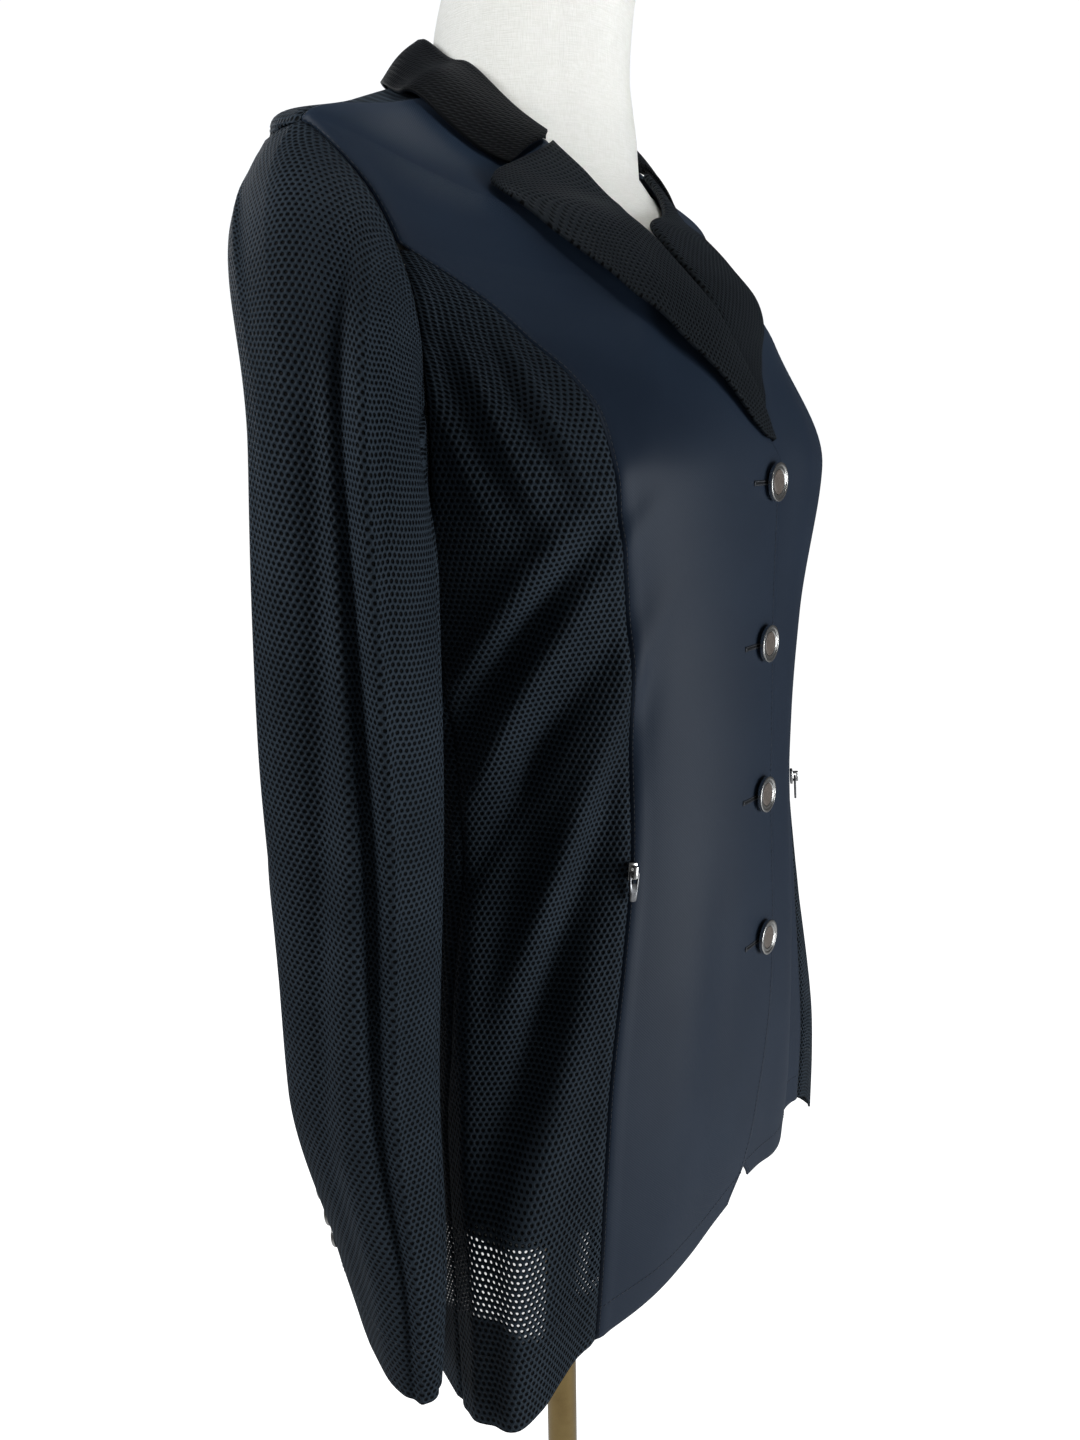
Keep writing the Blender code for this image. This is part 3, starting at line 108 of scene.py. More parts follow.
# Smaller creases that only show; spread is in degrees
CREASES = [
    Fold("right_waist_ridge_a", -90, -33, 0.345, 0.500, 3.8, 0.0052),
    Fold("right_waist_valley_a", -90, -30, 0.325, 0.485, 3.4, -0.0056),
    Fold("right_waist_ridge_b", -92, -30, 0.277, 0.480, 3.8, 0.0058),
    Fold("right_waist_valley_b", -92, -28, 0.243, 0.446, 4.2, -0.0060),
    Fold("right_waist_ridge_c", -78, -28, 0.180, 0.440, 4.2, 0.0056),
    Fold("right_waist_valley_c", -84, -28, 0.060, 0.430, 5.2, -0.0066),
    Fold("right_skirt_ridge_a", -72, -42, 0.020, 0.300, 6.0, 0.0052),
    Fold("right_skirt_ridge_b", -80, -78, 0.030, 0.350, 4.5, 0.0038),
    Fold("right_skirt_ridge_c", -79, -74, -0.080, 0.190, 4.0, 0.0030),
    Fold("right_skirt_valley", -70, -66, -0.080, 0.140, 3.2, -0.0026),
    Fold("right_bust_ridge_a", -40, -60, 0.440, 0.560, 1.8, 0.0026),
    Fold("right_bust_valley_a", -44, -64, 0.440, 0.560, 1.6, -0.0024),
    Fold("right_bust_ridge_b", -49, -70, 0.430, 0.560, 2.0, 0.0026),
    Fold("right_bust_valley_b", -54, -75, 0.430, 0.560, 2.0, -0.0024),
    Fold("right_bust_ridge_c", -59, -79, 0.425, 0.560, 2.2, 0.0022),
    Fold("right_front_drape", -30, -22, -0.060, 0.330, 7.0, 0.0018),
    Fold("right_front_hollow", -17, -14, 0.020, 0.300, 5.0, -0.0012),
    Fold("right_chest_ridge", -36, -16, 0.470, 0.640, 3.6, 0.0018),
    Fold("left_waist_pull_a", 75, 56, 0.280, 0.430, 2.8, 0.0020),
    Fold("left_waist_pull_b", 79, 52, 0.210, 0.365, 2.5, -0.0020),
    Fold("left_waist_pull_c", 74, 50, 0.140, 0.310, 3.0, 0.0018),
    Fold("left_skirt_a", 77, 73, -0.080, 0.190, 4.2, 0.0024),
    Fold("left_skirt_b", 55, 52, -0.050, 0.180, 3.6, -0.0018),
    Fold("left_front_drape", 29, 23, -0.060, 0.300, 7.0, 0.0016),
    Fold("left_chest_ridge", 36, 20, 0.470, 0.630, 4.0, 0.0016),
    Fold("back_waist_a", 150, 168, 0.240, 0.390, 5.0, -0.0022),
    Fold("back_waist_b", -152, -170, 0.215, 0.370, 4.4, -0.0020),
    Fold("back_waist_c", 128, 146, 0.300, 0.430, 4.0, 0.0018),
    Fold("back_waist_d", -126, -142, 0.280, 0.420, 4.6, 0.0020),
    Fold("back_skirt_a", 166, 171, -0.090, 0.220, 5.4, 0.0026),
    Fold("back_skirt_b", -168, -173, -0.070, 0.190, 4.8, -0.0020),
    Fold("back_shoulder_right", -122, -150, 0.480, 0.620, 5.0, -0.0016),
    Fold("back_shoulder_left", 124, 149, 0.470, 0.615, 5.4, -0.0016),
]

# Armhole, armpit to shoulder tip: angles from the centre front of its two branches
ArmholeRow = namedtuple("ArmholeRow", "run front back")
ARMHOLE = [
    ArmholeRow(0.440, 85.0, 85.0),
    ArmholeRow(0.450, 79.0, 95.0),
    ArmholeRow(0.468, 76.0, 103.0),
    ArmholeRow(0.495, 74.5, 111.0),
    ArmholeRow(0.525, 74.0, 116.0),
    ArmholeRow(0.555, 74.2, 119.0),
    ArmholeRow(0.581, 75.2, 120.0),
    ArmholeRow(0.600, 77.0, 119.0),
    ArmholeRow(0.616, 81.0, 115.0),
    ArmholeRow(0.628, 85.5, 107.0),
    ArmholeRow(0.635, 90.0, 90.0),
]
STYLE_TOP_RUN = 0.581

# Seams down the coat, as pairs of a run and the angle from the centre front there
STYLE_SEAM = [
    (0.000, 41.5), (0.100, 43.2), (0.160, 43.4), (0.235, 41.6), (0.300, 39.6), (0.390, 38.7),
    (0.433, 39.7), (0.480, 40.8), (0.506, 41.8), (0.527, 46.0), (0.544, 53.0), (0.561, 60.5),
    (0.581, 75.2),
]
SIDE_SEAM = [
    (0.000, 90.0), (0.140, 90.0), (0.200, 85.0), (0.260, 83.5), (0.330, 81.0), (0.400, 80.5),
    (0.440, 85.0),
]

# Front edge, pairs of a run and the way past the centre line; above it the lapel's roll line
FRONT_EDGE = [
    (0.000, -0.030), (0.048, -0.016), (0.070, 0.000), (0.093, 0.007), (0.112, 0.011),
    (0.145, 0.017), (0.180, 0.020), (0.350, 0.019), (0.440, 0.014), (0.485, 0.012),
]
BREAK_RUN = 0.485
ROLL_LINE = [
    (0.485, 3.7), (0.494, 0.6), (0.507, -1.4), (0.518, -3.2), (0.539, -6.0), (0.560, -8.4),
    (0.583, -9.8), (0.609, -10.5), (0.650, -12.6), (0.690, -16.6), (0.730, -27.8), (0.760, -47.0),
]

# How much further over the centre the left lapel lies than the right one, in degrees
LEFT_SHIFT = [
    (0.485, 0.0), (0.507, 5.4), (0.518, 7.6), (0.540, 10.6), (0.560, 14.6), (0.583, 17.2),
    (0.610, 18.1), (0.650, 18.6), (0.690, 16.4), (0.730, 11.5), (0.760, 0.0),
]
LEFT_TIP_SHIFT = 8.0
TIP_RUNS = (0.600, 0.700)

# How far the hem is cut up above the side hem, pairs of an angle from the centre front and a rise
HEM_CUT = [
    (0.0, 0.050), (10.0, 0.046), (18.0, 0.040), (32.0, 0.036), (41.0, 0.034), (46.0, 0.029),
    (50.0, 0.018), (54.0, 0.007), (62.0, 0.000), (180.0, 0.000),
]
HEM_FADE_RUN = 0.160
SETTLING_ROUNDS = 3

# Lapel outer edge against the roll line, break to tip; lift is the height off the front
LapelRow = namedtuple("LapelRow", "roll_run outer_run outer_angle lift curl")
LAPEL = [
    LapelRow(0.493, 0.4945, -2.4, 0.0022, 0.0000),
    LapelRow(0.508, 0.503, -7.0, 0.0026, 0.0003),
    LapelRow(0.528, 0.514, -10.8, 0.0034, 0.0007),
    LapelRow(0.550, 0.527, -15.0, 0.0046, 0.0012),
    LapelRow(0.572, 0.541, -20.3, 0.0060, 0.0018),
    LapelRow(0.597, 0.556, -25.4, 0.0070, 0.0022),
    LapelRow(0.626, 0.573, -30.2, 0.0074, 0.0024),
    LapelRow(0.661, 0.592, -35.3, 0.0066, 0.0018),
    LapelRow(0.700, 0.616, -41.0, 0.0054, 0.0010),
    LapelRow(0.756, 0.650, -49.6, 0.0044, 0.0004),
]
LEFT_LAPEL_FOOT_RUN = 0.508
LEFT_LAPEL_RISE = 0.15

# Collar, gorge to centre back: stand height, lean of the roll to the neck, outer edge
CollarRow = namedtuple("CollarRow", "angle stand lean_in outer_run outer_angle lift")
COLLAR = [
    CollarRow(47.0, 0.003, 0.000, 0.705, 54.0, 0.0040),
    CollarRow(60.0, 0.007, 0.001, 0.700, 63.0, 0.0040),
    CollarRow(75.0, 0.011, 0.002, 0.702, 73.0, 0.0046),
    CollarRow(90.0, 0.014, 0.003, 0.711, 88.0, 0.0052),
    CollarRow(110.0, 0.016, 0.003, 0.722, 106.0, 0.0038),
    CollarRow(140.0, 0.017, 0.002, 0.728, 138.0, 0.0036),
    CollarRow(180.0, 0.018, 0.001, 0.728, 180.0, 0.0036),
]
COLLAR_FOLD = 0.0046

# Sleeve sections of the wearer's right arm, x and y from the stand's axis, z from the hem
SleeveRing = namedtuple("SleeveRing", "name run x y z tilt dip half_deep half_wide yaw belly")
SLEEVE_RINGS = [
    SleeveRing("upper_arm", 0.000, -0.200, -0.034, 0.462, 0.036, 0.006, 0.0385, 0.0340, 0, 0.04),
    SleeveRing("elbow", 0.150, -0.201, -0.028, 0.330, 0.004, 0.000, 0.0425, 0.0350, 0, 0.05),
    SleeveRing("forearm", 0.290, -0.203, -0.024, 0.190, 0.000, 0.000, 0.0410, 0.0320, 6, 0.05),
    SleeveRing("wrist", 0.390, -0.203, -0.036, 0.092, 0.000, 0.004, 0.0400, 0.0200, 18, 0.06),
    SleeveRing("cuff", 0.445, -0.202, -0.038, 0.047, 0.000, 0.010, 0.0400, 0.0145, 25, 0.06),
]
CUFF_RUN = 0.445
SLEEVE_SET_BACK = {"right": 0.0, "left": 0.018}

# Turn 0 faces out, 90 to the front, 180 to the body and 270 to the back
SLEEVE_FOLDS = [
    Fold("long_valley", 14, 4, -0.240, 0.480, 17, -0.0130),
    Fold("long_ridge", 42, 34, -0.200, 0.540, 12, 0.0030),
    Fold("inner_hollow", 190, 175, -0.100, 0.400, 30, -0.0040),
    Fold("rear_hollow", -40, -60, 0.120, 0.440, 16, -0.0050),
]
SLEEVE_CREASES = [
    Fold("rear_fullness", 8, 0, -0.300, 0.520, 13, 0.0060),
    Fold("valley_floor", 22, 70, -0.350, 0.540, 8.5, -0.0125),
    Fold("valley_side", 12, 48, -0.350, 0.540, 11, -0.0045),
    Fold("strip_edge", 35, 83, -0.350, 0.560, 5, 0.0045),
    Fold("upper_rear_fold", -48, -30, -0.120, 0.230, 8, 0.0020),
    Fold("upper_rear_hollow", -66, -50, -0.060, 0.260, 8, -0.0018),
    Fold("elbow_pull_a", -90, -30, 0.120, 0.240, 12, 0.0016),
    Fold("elbow_pull_b", -100, -40, 0.165, 0.275, 9, -0.0016),
    Fold("cuff_hollow", 70, 60, 0.300, 0.500, 12, -0.0012),
    Fold("inner_fold", 150, 165, 0.050, 0.330, 10, 0.0016),
]
CapRow = namedtuple("CapRow", "turn bend reach drop")
SLEEVE_CAP = [
    CapRow(0.0, 34.0, 0.044, 0.055),
    CapRow(50.0, 52.0, 0.030, 0.045),
    CapRow(90.0, 74.0, 0.018, 0.035),
    CapRow(140.0, 88.0, 0.011, 0.018),
    CapRow(180.0, 92.0, 0.008, 0.008),
    CapRow(220.0, 84.0, 0.014, 0.020),
    CapRow(270.0, 68.0, 0.038, 0.045),
    CapRow(310.0, 56.0, 0.046, 0.056),
    CapRow(360.0, 34.0, 0.044, 0.055),
]
CAP_ROWS = 26
CAP_WAY_STEP = 0.01
FRONT_SLEEVE_SEAM_TURN = 120.0
BACK_SLEEVE_SEAM_TURN = 282.0

# Front buttons; a profile is radius and height, from the middle of the back round to the front
BUTTON_TOP_RUN = 0.470
BUTTON_PITCH = 0.0845
BUTTON_COUNT = 4
BUTTON_ACROSS = 0.004
BUTTON_SIDES = 72
BUTTON_CORNER = 0.0005
BUTTON_BODY = [
    (0.0, 0.0), (0.0070, 0.0), (0.0100, 0.0010), (0.0100, 0.0034), (0.0086, 0.0034),
    (0.0083, 0.0028), (0.0068, 0.0029), (0.0063, 0.0023), (0.0, 0.0023),
]
DISC_CORNER = 0.0002
BUTTON_DISC = [(0.0, 0.0024), (0.0062, 0.0024), (0.0062, 0.0027), (0.0057, 0.0029), (0.0, 0.0029)]

# Buttonholes reach from under the button's edge towards the wearer's right
BUTTONHOLE_START = 0.006
BUTTONHOLE_LENGTH = 0.0150
BUTTONHOLE_POINTS = 34
SLIT_HALF_WIDTH = 0.00035
SLIT_LIFT = 0.00012
SLIT_THICK = 0.0002
BORDER_OFF = 0.00085
BORDER_STITCH = (0.0011, 0.00024)
TACK_OFF = 0.0004
TACK_PITCH = 0.00035
TACK_LIFT = 0.00025
TACK_STITCH = (0.0030, 0.00036)
TACK_COUNT = 3

# Cuff buttons, down the back of each cuff; seat is the height off the cloth's curve
CuffButton = namedtuple("CuffButton", "run turn seat")
CUFF_BUTTONS = [
    CuffButton(0.363, 300.0, 0.0008),
    CuffButton(0.381, 301.0, 0.0006),
    CuffButton(0.399, 300.0, 0.0002),
]
CUFF_BUTTON_SIDES = 56
CUFF_BUTTON_CORNER = 0.0004
CUFF_BUTTON_BODY = [
    (0.0, 0.0), (0.0049, 0.0), (0.0070, 0.0009), (0.0070, 0.0022), (0.00644, 0.0028),
    (0.0056, 0.0028), (0.00532, 0.0022), (0.0, 0.0022),
]
CUFF_BUTTON_DISC = [(0.0, 0.0023), (0.00518, 0.0023), (0.0049, 0.0026), (0.0, 0.0026)]

# Pocket zips
SLIDER_RUN = 0.2835
SLIDER_LENGTH = 0.0090
SLIDER_WIDTH = 0.0050
SLIDER_HEIGHT = 0.0016
SLIDER_SEAT = 0.0007
SLIDER_BEVEL = 0.0005
BRIDGE_LENGTH = 0.0064
BRIDGE_WIDTH = 0.0024
BRIDGE_HEIGHT = 0.0050
BRIDGE_BAR = 0.0011
BRIDGE_BEVEL = 0.0004
LEG_BEVEL = 0.0003
LEG_OVERLAP = 0.0003
PULL_LENGTH = 0.0150
PULL_WIDTH = 0.0058
PULL_THICK = 0.0012
PULL_TIP_SHARE = 0.30
PULL_CORNER = 0.0013
PULL_BEVEL_SHARE = 0.22
PULL_BELOW_MIDDLE = 0.0008
PULL_ABOVE_CLOTH = 0.0030
EYE_WALL = 0.0012
EYE_LENGTH = 0.0046
EYE_TIP_SHARE = 0.9
EYE_CORNER = 0.0007

# Dress form and stand
FORM_FOOT_RUN = 0.078
FORM_ROW_STEP = 0.012
FORM_SIDES = 112
FORM_NECK = [
    Ring("neckline", 0.760, 0.631, 0.662, 0.684, 0.0584, -0.0484, 0.010, 0.0624, 0.0, 0.0, 0.0),
    Ring("neck_base", 0.775, 0.648, 0.674, 0.694, 0.0558, -0.048, 0.008, 0.0618, 0.0, 0.0, 0.0),
    Ring("neck_low", 0.795, 0.680, 0.694, 0.708, 0.0540, -0.043, 0.006, 0.0590, 0.0, 0.0, 0.0),
    Ring("neck_mid", 0.835, 0.730, 0.734, 0.740, 0.0520, -0.049, -0.002, 0.0460, 0.0, 0.0, 0.0),
    Ring("neck_high", 0.895, 0.792, 0.794, 0.796, 0.0525, -0.066, -0.018, 0.0310, 0.0, 0.0, 0.0),
    Ring("neck_top", 0.903, 0.800, 0.800, 0.800, 0.0490, -0.062, -0.018, 0.0270, 0.0, 0.0, 0.0),
]
FORM_NECK_STEP = 0.006
FORM_SEAM_ANGLES = (0.0, 38.0, 90.0, 142.0, 180.0, 218.0, 270.0, 322.0)
FORM_SEAM_WIDTH = 0.9
FORM_SEAM_DEPTH = 0.0007
POLE_RADIUS = 0.0105
POLE_Y = 0.0025
POLE_SIDES = 64
POLE_CORNER = 0.0015
FERRULE_RIM = 0.0045
FOOT_FERRULE = (0.018, 0.022)
TOP_FERRULE = (0.012, 0.016)
BASE_RADIUS = 0.240
BASE_HEIGHT = 0.012
BASE_SIDES = 128
BASE_CORNER = 0.003
BASE_CHAMFER = 0.004
BASE_EDGE_SHARE = 0.75
BASE_HUB = 0.030

# Camera: where it stands from the coat's axis and how it looks
CAMERA_AZIMUTH = -53.7
CAMERA_DISTANCE = 0.685
CAMERA_HEIGHT = 0.500
CAMERA_ASIDE = -0.009
CAMERA_PITCH = 14.3
CAMERA_ROLL = -1.04
CAMERA_LENS = 28.75
CAMERA_SENSOR = 36.0
CAMERA_CLIP = 0.02

# Steps between the points that a normal is read from, in degrees and metres
NORMAL_ANGLE_STEP = 0.5
SLEEVE_TURN_STEP = 1.0
NORMAL_RUN_STEP = 0.002

# Points of the pieces' grids
SHOULDER_SLOPE_RUN = 0.670
STYLE_TIP_CLEAR = 0.0005
FRONT_COLUMNS = 44
SIDE_COLUMNS = 36
BACK_COLUMNS = 110
LAPEL_COLUMNS = 22
LAPEL_ROWS = 90
COLLAR_COLUMNS = 150
COLLAR_ROWS = 26
ROLL_STEPS = 6

# Edges of a grid: both sides of it, and the side away from the coat's centre front
BOTH_EDGES = ("left", "right")
OUTER_EDGE = {"right": "left", "left": "right"}

# The left front lies lower beside the centre, and lower still under its lapel
LEFT_LOW_ANGLES = (8.0, 22.0)
LAPEL_ROOM_RUNS = (0.440, BREAK_RUN)
THROAT_RUNS = (0.545, 0.590)

# The lapel's lift and curl; its top edge bows up to meet the collar's end at the notch
LEFT_LAPEL_CURL = 0.3
LIFT_TOP_SHARE = 0.75
ROLL_EASE_SHARE = 0.1
NOTCH_RUNS = (0.700, 0.756)
NOTCH_BOW = 1.3
NOTCH_ANGLE = 5.6
NOTCH_RUN = 0.010

# The collar's fold over its stand
STAND_SHARE = 0.6
FOLD_DROP = 0.0012
FOLD_CROWN = 0.0008
FALL_BELLY = 0.002

# Relief beside a seam, and the sleeve's step back from the armhole
SEAM_GAP = 0.0001
SEAM_DIP = 0.0007
SEAM_DIP_WIDTH = 0.0013
SEAM_RIDGE = 0.0005
SEAM_RIDGE_AT = 0.0050
SEAM_RIDGE_WIDTH = 0.0030

# The most of a profile's side that the arc at one of its corners takes up
ARC_SHARE = 0.45

# Stitches: each is a spindle of rings, given by share of its length and of its half width
STITCH_PITCH = 0.0030
STITCH_LENGTH = 0.0022
STITCH_HALF_WIDTH = 0.00022
STITCH_SIDES = 6
STITCH_RINGS = ((-0.5, 0.35), (0.0, 1.0), (0.5, 0.35))
STITCH_RISE_SHARE = 0.3
WAY_STEP = 0.0005

# Distances of the topstitching from its edge, and how far up the front edge it goes
STYLE_STITCH_OFF = 0.0018
EDGE_STITCH_OFF = 0.0036
EDGE_STITCH_END = 0.97
FRONT_HEM_OFF = 0.020
CUFF_HEM_OFF = 0.030
MESH_HEM_OFF = 0.040

# Runs between which the mesh is thin enough to see through, by angle from the centre front
BandRow = namedtuple("BandRow", "angle low high")
BAND = [
    BandRow(40.0, 0.068, 0.102), BandRow(48.0, 0.067, 0.103), BandRow(55.5, 0.052, 0.106),
    BandRow(71.0, 0.062, 0.110), BandRow(95.0, 0.046, 0.094), BandRow(125.0, 0.012, 0.094),
    BandRow(180.0, 0.010, 0.096),
]
BAND_SOFT = 0.0015
POCKET_STRIP = (48.6, 55.4)
STRIP_SOFT = 0.5
SHEER_SHARE = 0.5
SHEER_ANGLES = (110.0, 225.0)
SHEER_SOFT = 8.0

# Looks of the cloths and meshes; pitch, sizes and relief are in metres
MESH_THREAD_SIZE = 0.0009
MESH_CLOUD_SIZE = 0.06
SMOOTH_CLOUD_SIZE = 0.09
TWILL_PITCH = 0.0022
SLUB_SIZE = 0.0016
MESH_ROUGHNESS = 0.62
MESH_SHEEN_TINT = (0.55, 0.65, 0.85)
MESH_GLOSS = 0.08
HOLE_CLEAR = 0.75
HOLE_SOFT = 0.05
CLEAR_INSIDE = 0.06
CLEAR_OUTSIDE = 0.02
HOLE_RIM_SHARES = (0.5, 1.7)
CLOUD_RANGE = (0.3, 0.7)
SHEEN_ROUGHNESS = 0.45
# Each look's last colour is painted in the holes that are not cut through: painted shade of the inside
# behind them
MeshLook = namedtuple("MeshLook", "name colour light hole pitch hole_share relief")
MESHES = {
    "mesh": MeshLook(
        "navy_mesh_cloth", (0.0265, 0.0375, 0.0500), (0.0410, 0.0560, 0.0735),
        (0.0012, 0.0017, 0.0024), 0.0031, 0.28, 0.0010),
    "fine_mesh": MeshLook(
        "fine_mesh_cloth", (0.0135, 0.0170, 0.0205), (0.0200, 0.0245, 0.0290),
        (0.0006, 0.0008, 0.0010), 0.0027, 0.25, 0.0006),
    # The collar is the lapels' fine mesh with much darker colours: painted shade
    "collar_painted_shade_mesh": MeshLook(
        "collar_mesh_cloth", (0.0018, 0.0022, 0.0026), (0.0026, 0.0031, 0.0037),
        (0.0004, 0.0005, 0.0006), 0.0027, 0.25, 0.0006),
}

# Looks of the other materials: a pair of colours, the grain per metre and the relief in metres
SMOOTH_COLOURS = ((0.0136, 0.0240, 0.0440), (0.0168, 0.0290, 0.0515))
SMOOTH_SHEEN_TINT = (0.50, 0.62, 0.85)
SMOOTH_RELIEF = 0.00006
THREAD_COLOURS = ((0.012, 0.016, 0.024), (0.026, 0.032, 0.045))
THREAD_GRAIN = 2600.0
THREAD_RELIEF = 0.0001
# The buttonhole slit's colours are painted shade in its opening
SLIT_SHADE_COLOURS = ((0.0015, 0.0018, 0.0025), (0.004, 0.005, 0.007))
SLIT_GRAIN = 900.0
SPECK_COLOURS = ((0.085, 0.062, 0.048), (0.23, 0.19, 0.16))
SPECK_GRAIN = 1500.0
SPECK_RANGE = (0.35, 0.65)
SPECK_RELIEF = 0.0001
LINEN_COLOURS = ((0.88, 0.87, 0.81), (0.96, 0.95, 0.90))
LINEN_CLOUD_COLOUR = (0.90, 0.88, 0.81)
LINEN_CLOUD_GRAIN = 14.0
LINEN_GRAINS = ((2600.0, 2600.0, 170.0), (150.0, 150.0, 2600.0))
LINEN_RANGE = (0.75, 1.25)
LINEN_RELIEF = 0.00022
TAPE_COLOURS = ((0.008, 0.010, 0.015), (0.018, 0.022, 0.030))
TAPE_GRAIN = 500.0
TAPE_RELIEF = 0.0002
FLOOR_COLOURS = ((0.80, 0.80, 0.80), (0.83, 0.83, 0.83))
FLOOR_GRAIN = 3.0

# Metals: wear between the two colours, and the roughness at either end of the wear
METAL_RELIEF = 0.00002
WEAR_RANGE = (0.2, 0.8)
WEAR_SHARES = (0.75, 1.35)
MetalLook = namedtuple("MetalLook", "name colour dark roughness grain")
METALS = {
    "silver": MetalLook(
        "silver_button_metal", (0.72, 0.71, 0.69), (0.50, 0.49, 0.47), 0.22, 900.0),
    "grey_metal": MetalLook(
        "grey_pull_metal", (0.34, 0.34, 0.34), (0.20, 0.20, 0.21), 0.30, 700.0),
    "dark_disc": MetalLook(
        "dark_button_face", (0.060, 0.060, 0.065), (0.030, 0.030, 0.034), 0.30, 900.0),
    "brass": MetalLook("brushed_brass", (0.50, 0.36, 0.15), (0.30, 0.20, 0.08), 0.20, 60.0),
}

# Lights round the coat; a beam's spread is in degrees
WHITE = (1.0, 1.0, 1.0)
Light = namedtuple("Light", "name place target size power colour spread")
LIGHTS = [
    Light("key", (0.65, -2.3, 0.80), (-0.05, -0.10, 0.85), (1.1, 1.1), 34.0, (0.92, 0.96, 1.0), 180.0),
    Light("window", (-1.35, 0.75, 2.05), (-0.15, 0.0, 1.36), (0.6, 0.8), 19.0, (0.94, 0.97, 1.0), 180.0),
    Light("neck", (-0.45, -0.8, 2.15), (0.0, -0.02, 1.62), (0.3, 0.3), 0.42, WHITE, 30.0),
    Light("back", (0.9, 2.4, 2.0), (0.0, 0.0, 1.15), (1.6, 1.4), 16.0, WHITE, 180.0),
]
WORLD_COLOUR = (0.97, 0.985, 1.0)
AMBIENT = 0.08
SURROUND = 1.05
FLOOR_GLOW = 1.0
FLOOR_REACH = 60.0


def eased_curve(stations, values):
    """Curve through the values with no overshoot between them, for numbers or arrays."""
    at, heights = np.array(stations, float), np.array(values, float)
    steps = np.diff(at)
    grades = np.diff(heights) / steps
    slopes = np.zeros(len(at))
    slopes[0], slopes[-1] = grades[0], grades[-1]
    for k, (before, after) in enumerate(zip(grades, grades[1:]), 1):
        if before * after > 0.0:
            slopes[k] = 2.0 * before * after / (before + after)

    def value_at(station):
        place = np.clip(station, at[0], at[-1])
        k = np.clip(np.searchsorted(at, place) - 1, 0, len(at) - 2)
        t = (place - at[k]) / steps[k]
        rise = t * t * (3.0 - 2.0 * t)
        lean_in = t * (1.0 - t) * (1.0 - t)
        lean_out = t * t * (t - 1.0)
        bend = steps[k] * (slopes[k] * lean_in + slopes[k + 1] * lean_out)
        return heights[k] + (heights[k + 1] - heights[k]) * rise + bend

    return value_at


def column_curves(rows, station):
    """One eased curve for each number column of a table, by its station column."""
    stations = [getattr(row, station) for row in rows]
    names = [name for name in rows[0]._fields if name not in (station, "name")]
    return {name: eased_curve(stations, [getattr(row, name) for row in rows]) for name in names}


COAT_SECTION = column_curves(COAT_RINGS, "run")
STYLE_ANGLE = eased_curve(*zip(*STYLE_SEAM))
SIDE_ANGLE = eased_curve(*zip(*SIDE_SEAM))
EDGE_OVERLAP = eased_curve(*zip(*FRONT_EDGE))
ROLL_ANGLE = eased_curve(*zip(*ROLL_LINE))
LEFT_SHIFT_AT = eased_curve(*zip(*LEFT_SHIFT))
HEM_RISE = eased_curve(*zip(*HEM_CUT))
ARMHOLE_BRANCHES = column_curves(ARMHOLE, "run")
SLEEVE_SECTION = column_curves(SLEEVE_RINGS, "run")
CAP_SHAPE = column_curves(SLEEVE_CAP, "turn")
LAPEL_SHAPE = column_curves(LAPEL, "roll_run")
COLLAR_SHAPE = column_curves(COLLAR, "angle")
BAND_SHAPE = column_curves(BAND, "angle")


def unit(vectors):
    """Vectors of an array made one long."""
    return vectors / np.maximum(np.linalg.norm(vectors, axis=-1, keepdims=True), 1e-12)


def smooth_step(low, high, value):
    """0 below low, 1 above high and a soft rise between."""
    t = np.clip((value - low) / (high - low), 0.0, 1.0)
    return t * t * (3.0 - 2.0 * t)


def finer(stations, step):
    """Stations with more between them, none further apart than the step."""
    fine = [stations[0]]
    for low, high in zip(stations, stations[1:]):
        count = max(1, math.ceil((high - low) / step - 1e-9))
        fine += [low + (high - low) * k / count for k in range(1, count + 1)]
    return np.array(fine)


def section_point(section, angle, run):
    """Points of ring sections at angles in degrees."""
    angle, run = np.broadcast_arrays(np.asarray(angle, float), np.asarray(run, float))
    turn = np.radians(angle)
    side, fore = np.sin(turn), np.cos(turn)
    faces = {}
    for name in ("belly", "y", "z"):
        faces[name] = np.where(
            fore >= 0.0, section[name + "_front"](run), section[name + "_back"](run))
    bulge = 1.0 + faces["belly"] * np.sin(2.0 * turn) ** 2
    centre = section["y_wide"](run)
    z_side = section["z_side"](run)
    lean = fore * fore * (1.0 + LEAN_SOFTNESS) / (fore * fore + LEAN_SOFTNESS)
    return np.stack([
        section["half_width"](run) * bulge * side,
        centre - np.abs(faces["y"] - centre) * bulge * fore,
        z_side + (faces["z"] - z_side) * lean,
    ], -1)


def normal_of(surface, angle, run):
    """Outward unit normals of a surface of angle and run."""
    across = surface(angle + NORMAL_ANGLE_STEP, run) - surface(angle - NORMAL_ANGLE_STEP, run)
    low = np.maximum(run - NORMAL_RUN_STEP, 0.0)
    high = np.minimum(run + NORMAL_RUN_STEP, NECK_RUN)
    return unit(np.cross(across, surface(angle, high) - surface(angle, low)))


def plain_coat(angle, run):
    """Coat's middle surface with no folds; the left shoulder sits a little lower."""
    place = section_point(COAT_SECTION, angle, run)
    place[..., 2] -= SHOULDER_TILT * place[..., 0] * smooth_step(TILT_FROM_RUN, TILT_FULL_RUN, run)
    return place


def wrapped(angle):
    """Angle in degrees from -180 up to 180."""
    return (angle + 180.0) % 360.0 - 180.0


def fold_depth(folds, angle, run):
    """Sum of the folds at places."""
    depth = np.zeros(np.broadcast(angle, run).shape)
    for fold in folds:
        t = np.clip((run - fold.run_low) / (fold.run_high - fold.run_low), 0.0, 1.0)
        off = wrapped(angle - (fold.angle_low + (fold.angle_high - fold.angle_low) * t))
        depth = depth + fold.depth * np.sin(math.pi * t) ** 2 * np.exp(-((off / fold.spread) ** 2))
    return depth


